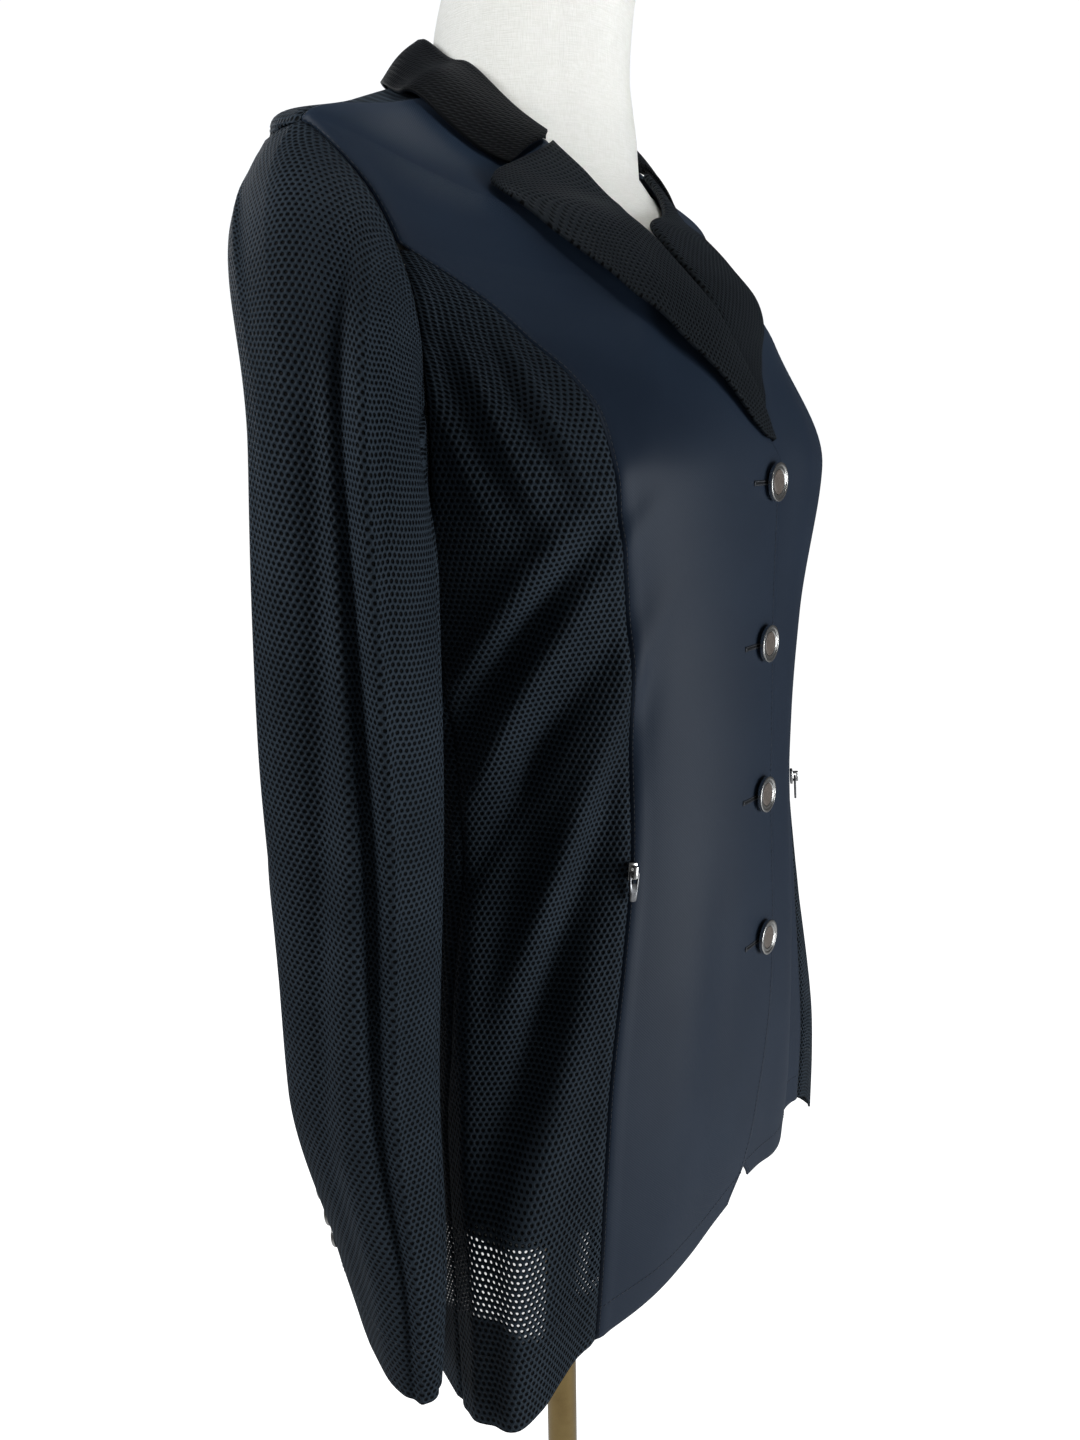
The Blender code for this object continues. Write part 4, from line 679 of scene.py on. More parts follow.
def coat_surface(angle, run, folds=COAT_FOLDS + CREASES):
    """Coat's middle surface with its folds and creases."""
    depth = fold_depth(folds, angle, run)
    return plain_coat(angle, run) + normal_of(plain_coat, angle, run) * depth[..., None]


def solid_surface(angle, run):
    """Middle surface of the solid coat, which hard parts sit on."""
    return coat_surface(angle, run, COAT_FOLDS)


def hem_run(angle, station):
    """Run of a row station once the hem is cut up at this angle."""
    rise = HEM_RISE(np.abs(wrapped(angle)))
    return np.where(station >= HEM_FADE_RUN, station, rise + station * (1.0 - rise / HEM_FADE_RUN))


def settled(angle_at, station):
    """Angle where each row station meets a seam."""
    angle = angle_at(station)
    for _ in range(SETTLING_ROUNDS):
        angle = angle_at(hem_run(angle, station))
    return angle


def roll_angle(side, run):
    """Angle of a lapel's roll line, as if on the wearer's right side."""
    return ROLL_ANGLE(run) + (LEFT_SHIFT_AT(run) if side == "left" else 0.0)


def edge_angle(side, run):
    """Angle of a front's free edge, overlap below the break and roll above it, as if right."""
    width = COAT_SECTION["half_width"](run)
    below = np.degrees(np.arcsin(EDGE_OVERLAP(run) / width))
    return np.where(run >= BREAK_RUN, roll_angle(side, run), below)


def front_outer_angle(station):
    """Angle of the front's style seam, armhole and shoulder seam from the centre front."""
    above = np.where(station < SHOULDER_RUN, ARMHOLE_BRANCHES["front"](station), 90.0)
    return np.where(station <= STYLE_TOP_RUN, STYLE_ANGLE(station), above)


def front_lift(angle, run, side):
    """Depth of the left front below the right one, deeper where the left lapel lies between."""
    if side == "right":
        return np.zeros(np.broadcast(angle, run).shape)
    beside_centre = 1.0 - smooth_step(*LEFT_LOW_ANGLES, angle)
    lapel_room = smooth_step(*LAPEL_ROOM_RUNS, run)
    below_throat = 1.0 - smooth_step(*THROAT_RUNS, run)
    return -LOOSE_LAYER * (1.0 + lapel_room) * beside_centre * below_throat


ARMHOLE_RUNS = [row.run for row in ARMHOLE]
FINE_RUNS = finer([0.0] + ARMHOLE_RUNS + [SHOULDER_SLOPE_RUN, NECK_RUN], ROW_STEP)
FINE_ARMHOLE_RUNS = finer(ARMHOLE_RUNS, ROW_STEP)


def lifted(angle, run, lift=0.0):
    """Grid of points on the coat, moved out by the lift."""
    out = normal_of(coat_surface, angle, run)
    return coat_surface(angle, run) + out * np.asarray(lift)[..., None]


def panel_grid(side, outer, inner, stations, columns):
    """Angles and runs between two edges given as if on the right, columns ordered to face out."""
    share = np.linspace(0.0, 1.0, columns + 1)
    angle = outer[:, None] + (inner - outer)[:, None] * share
    run = hem_run(angle, stations[:, None])
    if side == "left":
        return -angle[:, ::-1], run[:, ::-1]
    return angle, run


def front_grid(side):
    """Angles, runs and lifts of one front."""
    outer = settled(lambda run: -front_outer_angle(run), FINE_RUNS)
    inner = settled(lambda run: edge_angle(side, run), FINE_RUNS)
    angle, run = panel_grid(side, outer, inner, FINE_RUNS, FRONT_COLUMNS)
    return angle, run, front_lift(angle, run, side)


def side_grid(side):
    """Angles and runs of one side panel, from the side seam or armhole to the style seam."""
    stations = FINE_RUNS[FINE_RUNS < STYLE_TOP_RUN - STYLE_TIP_CLEAR]
    inner = settled(lambda run: -STYLE_ANGLE(run), stations)
    seam = settled(lambda run: -SIDE_ANGLE(run), stations)
    outer = np.where(stations < ARMPIT_RUN, seam, -ARMHOLE_BRANCHES["front"](stations))
    return panel_grid(side, outer, inner, stations, SIDE_COLUMNS)


def back_grid():
    """Angles and runs of the back, from the left side seam round to the right one."""
    below = SIDE_ANGLE(FINE_RUNS)
    above = np.where(FINE_RUNS < SHOULDER_RUN, ARMHOLE_BRANCHES["back"](FINE_RUNS), 90.0)
    edge = np.where(FINE_RUNS < ARMPIT_RUN, below, above)[:, None]
    share = np.linspace(0.0, 1.0, BACK_COLUMNS + 1)
    angle = edge + (360.0 - 2.0 * edge) * share
    return angle, np.broadcast_to(FINE_RUNS[:, None], angle.shape)


def grid_normals(points):
    """Unit normals of a grid from its neighbouring points."""
    across = np.gradient(points, axis=1)
    along = np.gradient(points, axis=0)
    return unit(np.cross(across, along))


def edge_distances(points):
    """Distance along its row from each point to the row's two ends."""
    steps = np.linalg.norm(np.diff(points, axis=1), axis=-1)
    from_left = np.concatenate([np.zeros((len(points), 1)), np.cumsum(steps, axis=1)], axis=1)
    return from_left, from_left[:, -1:] - from_left


def column_distances(points):
    """Distance along its column from each point to the column's two ends."""
    return tuple(distance.T for distance in edge_distances(points.transpose(1, 0, 2)))


def lengths_along(line):
    """Distance walked along a line to each of its points."""
    steps = np.linalg.norm(np.diff(line, axis=0), axis=-1)
    return np.concatenate([[0.0], np.cumsum(steps)])


def seam_relief(distance):
    """Height of the cloth beside a seam: it dips to the stitches over its turned allowance."""
    dip = -SEAM_DIP * np.exp(-((distance / SEAM_DIP_WIDTH) ** 2))
    ridge = SEAM_RIDGE * np.exp(-(((distance - SEAM_RIDGE_AT) / SEAM_RIDGE_WIDTH) ** 2))
    return dip + ridge


def seamed(points, seams):
    """Grid with relief along the seams named left, right, bottom or top."""
    moved = points.copy()
    normals = grid_normals(points)
    left, right = edge_distances(points)
    bottom, top = column_distances(points)
    for name, distance in (("left", left), ("right", right), ("bottom", bottom), ("top", top)):
        if name in seams:
            moved += normals * seam_relief(distance)[..., None]
    return moved


def drawn_back(points, edges):
    """Grid whose named side edges stand half a seam gap back from the seam."""
    moved = points.copy()
    if "left" in edges:
        moved[:, 0] += unit(points[:, 1] - points[:, 0]) * GAP / 2.0
    if "right" in edges:
        moved[:, -1] += unit(points[:, -2] - points[:, -1]) * GAP / 2.0
    return moved


def grid_uv(points, anchor, level_row):
    """Flat place of each point in metres from an anchor column.

    Heights are the anchor column's, or each column's own from a level row.
    """
    from_left, _ = edge_distances(points)
    u = from_left - from_left[:, anchor:anchor + 1]
    if level_row is not None:
        from_bottom, _ = column_distances(points)
        return np.stack([u, from_bottom - from_bottom[level_row]], -1)
    v = lengths_along(points[:, anchor])
    return np.stack([u, np.broadcast_to(v[:, None], u.shape)], -1)


def shell_faces(rows, columns):
    """Faces of a closed wall over a grid of points, outer layer first."""
    index = np.arange(rows * columns).reshape(rows, columns)
    quads = np.stack([index[:-1, :-1], index[:-1, 1:], index[1:, 1:], index[1:, :-1]], -1)
    quads = quads.reshape(-1, 4)
    under = rows * columns
    rim = list(index[0]) + list(index[1:, -1]) + list(index[-1, -2::-1]) + list(index[-2:0:-1, 0])
    here = np.array(rim)
    after = np.roll(here, -1)
    sides = np.stack([after, here, under + here, under + after], -1)
    return np.concatenate([quads, under + quads[:, ::-1], sides])


def tube_faces(rings, sides):
    """Faces of a closed tube of rings, its two flat ends last."""
    index = np.arange(rings * sides).reshape(rings, sides)
    after = np.roll(index, -1, axis=1)
    walls = np.stack([index[:-1], after[:-1], after[1:], index[1:]], -1).reshape(-1, 4)
    return walls.tolist() + [index[0, ::-1].tolist(), index[-1].tolist()]


def linked(name, mesh, material):
    """Smooth object of a mesh with its material, linked to the scene."""
    mesh.materials.append(material)
    mesh.polygons.foreach_set("use_smooth", [True] * len(mesh.polygons))
    made = bpy.data.objects.new(name, mesh)
    bpy.context.scene.collection.objects.link(made)
    return made


def mesh_object(name, vertices, faces, material, uv=None, values=None):
    """Smooth mesh object from arrays measured from the side hem, riding on the coat."""
    mesh = bpy.data.meshes.new(name)
    raised = np.asarray(vertices, float) + np.array([0.0, 0.0, HEM_HEIGHT])
    mesh.from_pydata(raised.tolist(), [], [list(map(int, face)) for face in faces])
    if uv is not None:
        corners = np.zeros(len(mesh.loops), np.int32)
        mesh.loops.foreach_get("vertex_index", corners)
        layer = mesh.uv_layers.new(name="cloth")
        layer.data.foreach_set("uv", np.asarray(uv, np.float32)[corners].ravel())
    for key, numbers in (values or {}).items():
        layer = mesh.attributes.new(key, "FLOAT", "POINT")
        layer.data.foreach_set("value", np.asarray(numbers, np.float32).ravel())
    mesh.update()
    made = linked(name, mesh, material)
    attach(made, COAT)
    return made


def covers(node_name):
    """Hide the solid that a piece shows in place of."""
    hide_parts(node_name)


def cloth(name, points, material, thickness, anchor=0, values=None, level_row=None):
    """Closed shell of cloth through a grid of middle points; values are numbers of each point."""
    rows, columns = points.shape[:2]
    normals = grid_normals(points)
    half = thickness / 2.0
    vertices = np.concatenate([
        (points + normals * half).reshape(-1, 3), (points - normals * half).reshape(-1, 3)])
    uv = grid_uv(points, anchor, level_row).reshape(-1, 2)
    both_layers = {key: np.tile(numbers.ravel(), 2) for key, numbers in (values or {}).items()}
    return mesh_object(
        name, vertices, shell_faces(rows, columns), material, np.tile(uv, (2, 1)), both_layers)


def panel(node_name, points, material, thickness, slot, **options):
    """Cloth that shows in place of a solid, with its grid of middle points."""
    piece = cloth("cloth_" + node_name, points, material, thickness, **options)
    covers(node_name)
    return piece, points


def node(tree, kind, inputs=(), **settings):
    """Shader node with its settings and its inputs, values or other nodes' outputs."""
    made = tree.nodes.new("ShaderNode" + kind)
    for key, value in settings.items():
        setattr(made, key, value)
    for socket, value in dict(inputs).items():
        if isinstance(value, bpy.types.NodeSocket):
            tree.links.new(value, made.inputs[socket])
        else:
            made.inputs[socket].default_value = value
    return made


def calc(tree, operation, *values):
    """Output of a Math node."""
    return node(tree, "Math", enumerate(values), operation=operation).outputs[0]


def mapped(tree, value, low, high, to_low, to_high):
    """A value mapped softly from one range to another."""
    inputs = {"Value": value, "From Min": low, "From Max": high, "To Min": to_low, "To Max": to_high}
    return node(tree, "MapRange", inputs, interpolation_type="SMOOTHSTEP").outputs["Result"]


def mixed(tree, factor, first, second):
    """Colour between two, each a colour or an output."""
    first, second = (
        value if isinstance(value, bpy.types.NodeSocket) else (*value, 1.0) for value in (first, second))
    return node(tree, "Mix", {0: factor, 6: first, 7: second}, data_type="RGBA").outputs[2]


def paint(tree, shader, factor, first, second):
    """Give a shader a colour between two by a factor."""
    tree.links.new(mixed(tree, factor, first, second), shader.inputs["Base Color"])


def noise(tree, vector, scale, detail=2.0, roughness=0.5):
    """Noise output over a vector."""
    inputs = {"Vector": vector, "Scale": scale, "Detail": detail, "Roughness": roughness}
    return node(tree, "TexNoise", inputs).outputs[0]


def new_material(name, roughness, metallic=0.0, sheen=0.0, sheen_tint=WHITE, gloss=0.5):
    """Material, its node tree and its Principled shader."""
    material = bpy.data.materials.new(name)
    material.use_nodes = True
    tree = material.node_tree
    shader = tree.nodes["Principled BSDF"]
    shader.inputs["Roughness"].default_value = roughness
    shader.inputs["Metallic"].default_value = metallic
    shader.inputs["Specular IOR Level"].default_value = gloss
    shader.inputs["Sheen Weight"].default_value = sheen
    shader.inputs["Sheen Roughness"].default_value = SHEEN_ROUGHNESS
    shader.inputs["Sheen Tint"].default_value = (*sheen_tint, 1.0)
    return material, tree, shader


def connect_bump(tree, shader, height, distance):
    """Relief of a material from a height output."""
    bump = node(tree, "Bump", {"Height": height, "Distance": distance, "Strength": 1.0})
    tree.links.new(bump.outputs["Normal"], shader.inputs["Normal"])


def flat_place(tree):
    """Flat place on the cloth in metres."""
    return node(tree, "UVMap", uv_map="cloth").outputs["UV"]


def object_place(tree):
    """Place in the object's own frame in metres."""
    return node(tree, "TexCoord").outputs["Object"]


def hole_distance(tree, pitch):
    """Distance to the nearest hole's middle, in pitches, over a honeycomb of holes."""
    half = (0.5, math.sqrt(0.75), 0.0)
    inputs = {0: flat_place(tree), "Scale": 1.0 / pitch}
    scaled = node(tree, "VectorMath", inputs, operation="SCALE").outputs[0]
    distances = []
    for shift in ((0.0, 0.0, 0.0), half):
        moved = node(tree, "VectorMath", {0: scaled, 1: shift}, operation="ADD").outputs[0]
        limits = {0: moved, 1: half, 2: tuple(-value for value in half)}
        nearest = node(tree, "VectorMath", limits, operation="WRAP").outputs[0]
        distances.append(node(tree, "VectorMath", {0: nearest}, operation="LENGTH").outputs["Value"])
    return calc(tree, "MINIMUM", *distances)


def mesh_material(look):
    """Knitted mesh with round holes in a honeycomb; they are cut through where see_through says, and
    elsewhere painted dark with painted shade.

    Where sheer says, the yarn between the holes lets light through too.
    """
    material, tree, shader = new_material(
        look.name, MESH_ROUGHNESS, sheen=0.03, sheen_tint=MESH_SHEEN_TINT, gloss=MESH_GLOSS)
    share = look.hole_share
    distance = hole_distance(tree, look.pitch)
    hole = mapped(tree, distance, share - HOLE_SOFT, share + HOLE_SOFT, 1.0, 0.0)
    place = flat_place(tree)
    thread = noise(tree, place, 1.0 / MESH_THREAD_SIZE, 2.0, 0.6)
    cloud = noise(tree, place, 1.0 / MESH_CLOUD_SIZE, 3.0, 0.55)
    yarn = mixed(tree, mapped(tree, cloud, *CLOUD_RANGE, 0.0, 1.0), look.colour, look.light)
    yarn = mixed(tree, calc(tree, "MULTIPLY", thread, 0.5), yarn, look.colour)
    # Holes not cut through get the dark colour: painted shade
    paint(tree, shader, hole, yarn, look.hole)
    low, high = (share * rim for rim in HOLE_RIM_SHARES)
    rise = mapped(tree, distance, low, high, 0.0, 1.0)
    height = calc(tree, "ADD", rise, calc(tree, "MULTIPLY", thread, 0.25))
    connect_bump(tree, shader, height, look.relief)
    open_here = node(tree, "Attribute", attribute_name="see_through").outputs["Fac"]
    clear = mapped(tree, distance, share - CLEAR_INSIDE, share + CLEAR_OUTSIDE, HOLE_CLEAR, 0.0)
    sheer = node(tree, "Attribute", attribute_name="sheer").outputs["Fac"]
    clear = calc(tree, "MAXIMUM", clear, sheer)
    alpha = calc(tree, "SUBTRACT", 1.0, calc(tree, "MULTIPLY", clear, open_here))
    tree.links.new(alpha, shader.inputs["Alpha"])
    return material


def smooth_material():
    """Smooth navy stretch cloth with a very fine twill."""
    material, tree, shader = new_material(
        "smooth_navy_cloth", 0.52, sheen=0.05, sheen_tint=SMOOTH_SHEEN_TINT, gloss=0.20)
    place = flat_place(tree)
    cloud = noise(tree, place, 1.0 / SMOOTH_CLOUD_SIZE, 3.0)
    tone = mapped(tree, cloud, *CLOUD_RANGE, 0.0, 1.0)
    paint(tree, shader, tone, *SMOOTH_COLOURS)
    twill = {"Vector": place, "Scale": 1.0 / TWILL_PITCH, "Distortion": 0.6, "Detail": 1.0}
    wave = node(tree, "TexWave", twill, bands_direction="DIAGONAL").outputs["Fac"]
    slub = noise(tree, place, 1.0 / SLUB_SIZE, 3.0, 0.7)
    height = calc(tree, "ADD", calc(tree, "MULTIPLY", wave, 0.4), slub)
    connect_bump(tree, shader, height, SMOOTH_RELIEF)
    return material


def thread_material():
    """Twisted sewing thread."""
    material, tree, shader = new_material("navy_thread", 0.5, sheen=0.2)
    twist = noise(tree, object_place(tree), THREAD_GRAIN, 1.0)
    paint(tree, shader, twist, *THREAD_COLOURS)
    connect_bump(tree, shader, twist, THREAD_RELIEF)
    return material


def slit_material():
    """Painted shade in a buttonhole's opening, which shows only shadow."""
    material, tree, shader = new_material("buttonhole_dark", 0.9)
    shade = noise(tree, object_place(tree), SLIT_GRAIN)
    paint(tree, shader, shade, *SLIT_SHADE_COLOURS)
    return material


def metal_material(look):
    """Metal with fine wear in its colour, gloss and surface."""
    material, tree, shader = new_material(look.name, look.roughness, metallic=1.0)
    wear = noise(tree, object_place(tree), look.grain, 4.0, 0.6)
    paint(tree, shader, wear, look.colour, look.dark)
    shiny, worn = (look.roughness * wear_share for wear_share in WEAR_SHARES)
    tree.links.new(mapped(tree, wear, *WEAR_RANGE, shiny, worn), shader.inputs["Roughness"])
    connect_bump(tree, shader, wear, METAL_RELIEF)
    return material


def speckled_material():
    """Taupe disc with fine specks."""
    material, tree, shader = new_material("taupe_speckled", 0.42)
    speck = noise(tree, object_place(tree), SPECK_GRAIN, 3.0, 0.7)
    paint(tree, shader, mapped(tree, speck, *SPECK_RANGE, 0.0, 1.0), *SPECK_COLOURS)
    connect_bump(tree, shader, speck, SPECK_RELIEF)
    return material


def linen_material():
    """Off-white linen of the dress form, warp and weft of uneven thread."""
    material, tree, shader = new_material("white_linen_cloth", 0.85, sheen=0.15)
    place = object_place(tree)
    threads = []
    for grains in LINEN_GRAINS:
        scaled = node(tree, "VectorMath", {0: place, 1: grains}, operation="MULTIPLY").outputs[0]
        threads.append(noise(tree, scaled, 1.0, 1.5))
    weave = calc(tree, "ADD", *threads)
    colour = mixed(tree, mapped(tree, weave, *LINEN_RANGE, 0.0, 1.0), *LINEN_COLOURS)
    cloud = calc(tree, "MULTIPLY", noise(tree, place, LINEN_CLOUD_GRAIN, 3.0), 0.2)
    paint(tree, shader, cloud, colour, LINEN_CLOUD_COLOUR)
    connect_bump(tree, shader, weave, LINEN_RELIEF)
    return material


def tape_material():
    """Ribbed woven zip tape."""
    material, tree, shader = new_material("zip_tape_cloth", 0.75, sheen=0.1)
    inputs = {"Vector": object_place(tree), "Scale": TAPE_GRAIN}
    ribs = node(tree, "TexWave", inputs, bands_direction="Z").outputs["Fac"]
    paint(tree, shader, ribs, *TAPE_COLOURS)
    connect_bump(tree, shader, ribs, TAPE_RELIEF)
    return material


def floor_material():
    """Pale matt floor."""
    material, tree, shader = new_material("pale_floor", 0.9)
    cloud = noise(tree, object_place(tree), FLOOR_GRAIN)
    seen = node(tree, "LightPath").outputs["Is Camera Ray"]
    shader.inputs["Emission Color"].default_value = (*WHITE, 1.0)
    tree.links.new(calc(tree, "MULTIPLY", seen, FLOOR_GLOW), shader.inputs["Emission Strength"])
    paint(tree, shader, cloud, *FLOOR_COLOURS)
    return material


def build_fronts(materials):
    """Right and left fronts."""
    made = {}
    for side in SIDES:
        outer = OUTER_EDGE[side]
        points = drawn_back(seamed(lifted(*front_grid(side)), (outer,)), (outer,))
        made[side] = panel("front_" + side, points, materials["smooth"], SMOOTH_THICK, "smooth_navy")
    return made


def between(value, low, high, soft):
    """1 between two values and 0 outside them."""
    return smooth_step(low - soft, low, value) * (1.0 - smooth_step(high, high + soft, value))


def band_mask(angle, run):
    """1 where the hem's band lets light through, broken by the pocket's strip."""
    off = np.abs(wrapped(angle))
    band = between(run, BAND_SHAPE["low"](off), BAND_SHAPE["high"](off), BAND_SOFT)
    return band * (1.0 - between(off, *POCKET_STRIP, STRIP_SOFT))


def build_sides(materials):
    """Right and left side panels of mesh."""
    made = {}
    for side in SIDES:
        angle, run = side_grid(side)
        points = drawn_back(seamed(lifted(angle, run), BOTH_EDGES), BOTH_EDGES)
        made[side] = panel(
            "side_" + side, points, materials["mesh"], MESH_THICK, "navy_mesh",
            anchor=SIDE_COLUMNS if side == "right" else 0,
            values={"see_through": band_mask(angle, run)})
    return made


def build_back(materials):
    """Back of mesh in one piece."""
    angle, run = back_grid()
    see_through = band_mask(angle, run)
    sheer = SHEER_SHARE * see_through * between(angle, *SHEER_ANGLES, SHEER_SOFT)
    points = drawn_back(seamed(lifted(angle, run), BOTH_EDGES), BOTH_EDGES)
    return panel(
        "back", points, materials["mesh"], MESH_THICK, "navy_mesh", anchor=points.shape[1] // 2,
        values={"see_through": see_through, "sheer": sheer})


def armhole_loop(side):
    """Places, normals and ways on over the opening round the armhole, as if on the right.

    The loop starts at the shoulder tip and goes round by the front.
    """
    sign = SIDE_SIGN[side]
    flip = np.array([-sign, 1.0, 1.0])
    front = FINE_ARMHOLE_RUNS[::-1]
    back = FINE_ARMHOLE_RUNS[1:-1]
    angles = sign * np.concatenate([ARMHOLE_BRANCHES["front"](front), ARMHOLE_BRANCHES["back"](back)])
    runs = np.concatenate([front, back])
    points = coat_surface(angles, runs) * flip
    normals = normal_of(coat_surface, angles, runs) * flip
    tangent = np.roll(points, -1, axis=0) - np.roll(points, 1, axis=0)
    onward = unit(np.cross(tangent, normals))
    inward = points.mean(axis=0) - points
    onward *= np.where((onward * inward).sum(-1) < 0.0, -1.0, 1.0)[:, None]
    return points, normals, onward


def loop_turns(points):
    """Turn in degrees of each armhole point, by length, 0 at the top and 180 at the foot."""
    foot = len(FINE_ARMHOLE_RUNS) - 1
    walked = lengths_along(np.concatenate([points, points[:1]]))
    front = 180.0 * walked[:foot + 1] / walked[foot]
    back = 180.0 + 180.0 * (walked[foot + 1:-1] - walked[foot]) / (walked[-1] - walked[foot])
    return np.concatenate([front, back])


def sleeve_point(turn, run, set_back):
    """Middle surface of the sleeve below its cap, on the wearer's right."""
    turn, run = np.broadcast_arrays(np.asarray(turn, float), np.asarray(run, float))
    section = {name: curve(run) for name, curve in SLEEVE_SECTION.items()}
    angle = np.radians(turn)
    out, fore = np.cos(angle), np.sin(angle)
    bulge = 1.0 + section["belly"] * np.sin(2.0 * angle) ** 2
    fold = fold_depth(SLEEVE_FOLDS + SLEEVE_CREASES, turn, run)
    reach_x = section["half_wide"] * bulge + fold
    reach_y = section["half_deep"] * bulge + fold
    yaw = np.radians(section["yaw"])
    away_x, away_y = -reach_x * out, -reach_y * fore
    return np.stack([
        section["x"] + away_x * np.cos(yaw) + away_y * np.sin(yaw),
        section["y"] + set_back - away_x * np.sin(yaw) + away_y * np.cos(yaw),
        section["z"] + section["tilt"] * out - section["dip"] * fore,
    ], -1)


def cap_rows(turns, loop, set_back):
    """Rows of the sleeve cap, from the first section up to the armhole."""
    points, normals, onward = loop
    bend = np.radians(CAP_SHAPE["bend"](turns))[:, None]
    start_way = onward * np.cos(bend) + normals * np.sin(bend)
    start = points + start_way * (SEAM_GAP + MESH_THICK / 2.0 * np.sin(bend))
    finish = sleeve_point(turns, 0.0, set_back)
    finish_way = unit(sleeve_point(turns, CAP_WAY_STEP, set_back) - finish)
    first = start + start_way * CAP_SHAPE["reach"](turns)[:, None]
    second = finish - finish_way * CAP_SHAPE["drop"](turns)[:, None]
    rows = []
    for t in np.linspace(1.0, 0.0, CAP_ROWS + 1):
        s = 1.0 - t
        rows.append(
            start * s ** 3 + first * 3.0 * s * s * t + second * 3.0 * s * t * t + finish * t ** 3)
    return rows


def build_sleeves(materials):
    """Top and under sleeve of each arm."""
    made = {}
    for side in SIDES:
        set_back = SLEEVE_SET_BACK[side]
        loop = armhole_loop(side)
        turns = loop_turns(loop[0])
        runs = finer([0.0, CUFF_RUN], ROW_STEP)[:0:-1]
        rows = [sleeve_point(turns, run, set_back) for run in runs]
        grid = np.array(rows + cap_rows(turns, loop, set_back))
        front_seam = int(np.abs(turns - FRONT_SLEEVE_SEAM_TURN).argmin())
        back_seam = int(np.abs(turns - BACK_SLEEVE_SEAM_TURN).argmin())
        spans = {
            "sleeve_under_": np.arange(front_seam, back_seam + 1),
            "sleeve_top_": np.arange(back_seam, len(turns) + front_seam + 1) % len(turns),
        }
        for name, span in spans.items():
            points = grid[:, span]
            if side == "left":
                points = points[:, ::-1] * np.array([-1.0, 1.0, 1.0])
            points = drawn_back(seamed(points, ("left", "right", "top")), BOTH_EDGES)
            made[name + side] = panel(
                name + side, points, materials["mesh"], MESH_THICK, "navy_mesh",
                anchor=points.shape[1] // 2, level_row=0)
    return made


def lapel_points(side):
    """Grid of a lapel from the front's edge round the roll and out to the lapel's edge."""
    foot = LAPEL[0].roll_run if side == "right" else LEFT_LAPEL_FOOT_RUN
    roll_run = np.linspace(foot, LAPEL[-1].roll_run, LAPEL_ROWS)[:, None]
    share = np.linspace(0.0, 1.0, LAPEL_COLUMNS + 1)
    roll = roll_angle(side, roll_run)
    outer_angle = LAPEL_SHAPE["outer_angle"](roll_run)
    outer_run = LAPEL_SHAPE["outer_run"](roll_run)
    height = LAPEL_SHAPE["lift"](roll_run) - LAYER
    curl = LAPEL_SHAPE["curl"](roll_run)
    if side == "left":
        height = height * LEFT_LAPEL_RISE
        curl = curl * LEFT_LAPEL_CURL
        tip_shift = LEFT_TIP_SHIFT * smooth_step(*TIP_RUNS, roll_run)
        outer_angle = outer_angle + np.maximum(LEFT_SHIFT_AT(roll_run), tip_shift)
    bent = smooth_step(*NOTCH_RUNS, roll_run) * np.sin(math.pi * share ** NOTCH_BOW)
    angle = roll + (outer_angle - roll) * share - bent * NOTCH_ANGLE
    run = roll_run + (outer_run - roll_run) * share + bent * NOTCH_RUN
    climb = np.sin(math.pi * np.minimum(share, LIFT_TOP_SHARE) / (2.0 * LIFT_TOP_SHARE))
    rise = height * climb + curl * share ** 3
    base = ROLL_LAYER + (LOOSE_LAYER - ROLL_LAYER) * smooth_step(0.0, ROLL_EASE_SHARE, share)
    signed = angle if side == "right" else -angle
    lift = front_lift(signed, run, side) + base + rise
    over = lifted(signed, run, lift)
    sunk = lifted(signed[:, :1], run[:, :1], lift[:, :1] - ROLL_LAYER)
    throat = unit(over[:, :1] - over[:, 2:3])
    arc = []
    for k in range(ROLL_STEPS):
        t = k / ROLL_STEPS
        level = sunk + (over[:, :1] - sunk) * (1.0 - math.cos(math.pi * t)) / 2.0
        arc.append(level + throat * ROLL_LAYER / 2.0 * math.sin(math.pi * t))
    grid = np.concatenate(arc + [over], axis=1)
    return grid[:, ::-1] if side == "right" else grid


def build_lapels(materials):
    """Turned-back lapels, rolled over the fronts' edges."""
    made = {}
    for side in SIDES:
        points = lapel_points(side)
        made[side] = panel(
            "lapel_" + side, points, materials["fine_mesh"], LAPEL_THICK, "fine_mesh",
            anchor=points.shape[1] // 2)
    return made


def collar_columns(angle):
    """Cross-sections of the collar at angles: neck seam, roll and outer edge."""
    shape = {name: curve(np.abs(angle))[:, None] for name, curve in COLLAR_SHAPE.items()}
    side = np.where(angle >= 0.0, 1.0, -1.0)
    seam = plain_coat(angle, np.full(angle.shape, NECK_RUN))
    outward = seam * np.array([1.0, 1.0, 0.0])
    outward[:, 1] -= COAT_SECTION["y_wide"](NECK_RUN)
    outward = unit(outward)
    up = np.array([0.0, 0.0, 1.0])
    foot = seam + up * (GAP + WALL / 2.0)
    roll = foot + up * shape["stand"] - outward * shape["lean_in"]
    outer_angle = side * shape["outer_angle"][:, 0]
    outer_run = shape["outer_run"][:, 0]
    facing = normal_of(plain_coat, outer_angle, outer_run)
    outer = plain_coat(outer_angle, outer_run) + facing * shape["lift"]
    over = roll + outward * COLLAR_FOLD - up * FOLD_DROP
    crown = (roll + over) / 2.0 + up * FOLD_CROWN
    middle = (over + outer) / 2.0 + facing * FALL_BELLY
    return np.stack([foot, foot + (roll - foot) * STAND_SHARE, roll, crown, over, middle, outer])


